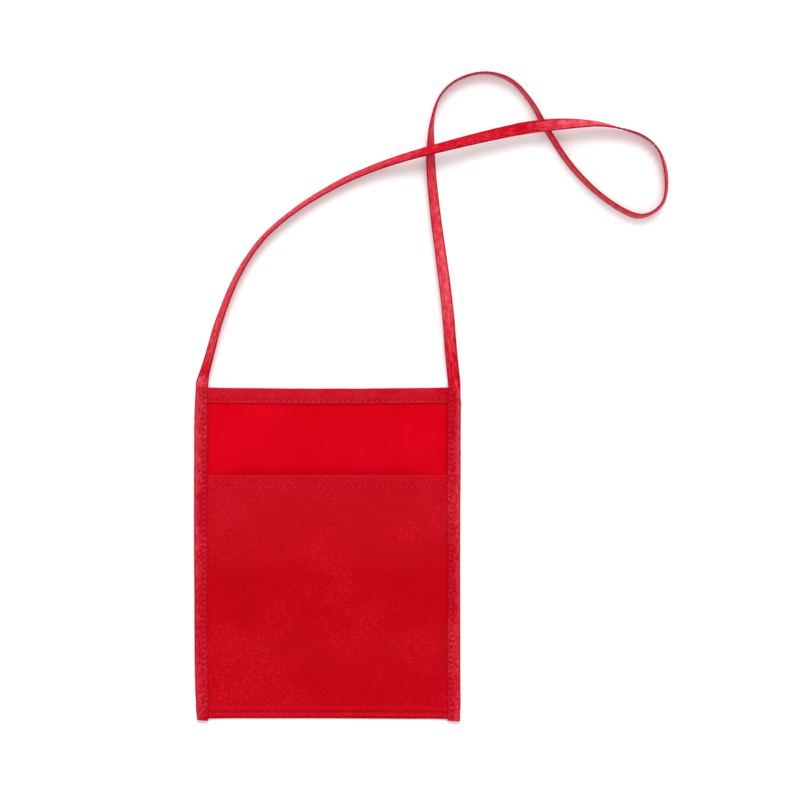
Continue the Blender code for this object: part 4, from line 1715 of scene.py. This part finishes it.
    def sew_strap(self, finish: bpy.types.Material) -> bpy.types.Object:
        """Sew the strap's open edges together over its whole length."""
        strap, lie = self.strap, self.lie
        gap = lie.binding_pitch / strap.step
        holes = [strap.rings[min(round(index * gap), len(strap.rings) - 1)]
                 for index in range(int((len(strap.rings) - 1) / gap) + 1)]
        seats = self.tape_row(holes, strap.shape, 1) + self.tape_row(holes, strap.shape, -1)
        obj = self.stitcher.sew("neck_strap_stitches", seats, lie.binding_pitch - self.tape_gap,
                                finish)
        strap.hinge(obj)
        return obj

    def build(self, finishes: Finishes) -> bpy.types.Object:
        """Sew every row.

        Args:
            finishes: The pouch's finishes.

        Returns:
            The strap's own row.
        """
        for side in Side:
            self.sew_binding(side, finishes.thread)
            self.sew_pocket_hem(side, finishes.thread)
        self.sew_top_hem(finishes.thread)
        return self.sew_strap(finishes.thread)


# ---------------------------------------------------------------------------------------------
# Camera, floor and light
# ---------------------------------------------------------------------------------------------


@dataclass
class Studio:
    """A camera straight above, a plain white floor, and soft light from beyond the strap."""

    eye: tuple[float, float, float] = (43.5 * MM, 92.5 * MM, 1.6)
    lens: float = 120.0
    sensor: float = 36.0
    floor_side: float = 12.0
    floor_z: float = -0.2 * MM
    key_strength: float = 1.9
    key_angle: float = 34.0
    key_from: tuple[float, float, float] = (0.12, 1.0, 1.12)
    sky: float = 0.95

    def camera(self) -> None:
        """Set up the camera."""
        data = bpy.data.cameras.new("camera")
        data.lens = self.lens
        data.sensor_width = self.sensor
        data.clip_start, data.clip_end = 0.01, 100
        obj = bpy.data.objects.new("camera", data)
        obj.location = self.eye
        bpy.context.scene.collection.objects.link(obj)
        bpy.context.scene.camera = obj

    def floor(self) -> None:
        """Lay the floor."""
        deselect_all()
        bpy.ops.mesh.primitive_plane_add(size=self.floor_side,
                                         location=(self.eye[0], self.eye[1], self.floor_z))
        obj = bpy.context.object
        obj.name = "floor"
        obj.data.materials.append(FloorFinish("white_floor").make())

    def light(self) -> None:
        """Set up one broad key light and an even fill."""
        data = bpy.data.lights.new("key", "SUN")
        data.energy = self.key_strength
        data.angle = math.radians(self.key_angle)
        obj = bpy.data.objects.new("key", data)
        obj.rotation_euler = Vector(self.key_from).to_track_quat("Z", "Y").to_euler()
        bpy.context.scene.collection.objects.link(obj)
        world = bpy.data.worlds.new("studio")
        world.use_nodes = True
        background = world.node_tree.nodes["Background"]
        background.inputs["Color"].default_value = (1, 1, 1, 1)
        background.inputs["Strength"].default_value = self.sky
        bpy.context.scene.world = world
        bpy.context.scene.view_settings.view_transform = "Standard"


def main() -> None:
    """Build the pouch, its strap and its stitching, and set the stage."""
    logging.basicConfig(level=logging.INFO, format="%(name)s %(message)s")
    studio = Studio()
    studio.camera()
    back, front, strap = BackCloth(), PocketFront(), NeckStrap()
    finishes = Finishes.make(pocket_seam=front.cut_at(LIE.pocket_seam_y),
                             mouth=front.cut_at(LIE.mouth_y), bottom=back.line().stations[-1].cut)

    tape = strap.build(finishes)
    back.build(finishes)
    front.build(finishes)
    bindings = {Side.LEFT: SideBinding(Side.LEFT, 0.0),
                Side.RIGHT: SideBinding(Side.RIGHT, strap.length)}
    for binding in bindings.values():
        binding.build(finishes)
    stitches = Stitching(back, front, bindings, strap).build(finishes)
    strap.declare(tape, stitches)

    studio.floor()
    studio.light()


if __name__ == "__main__":
    main()
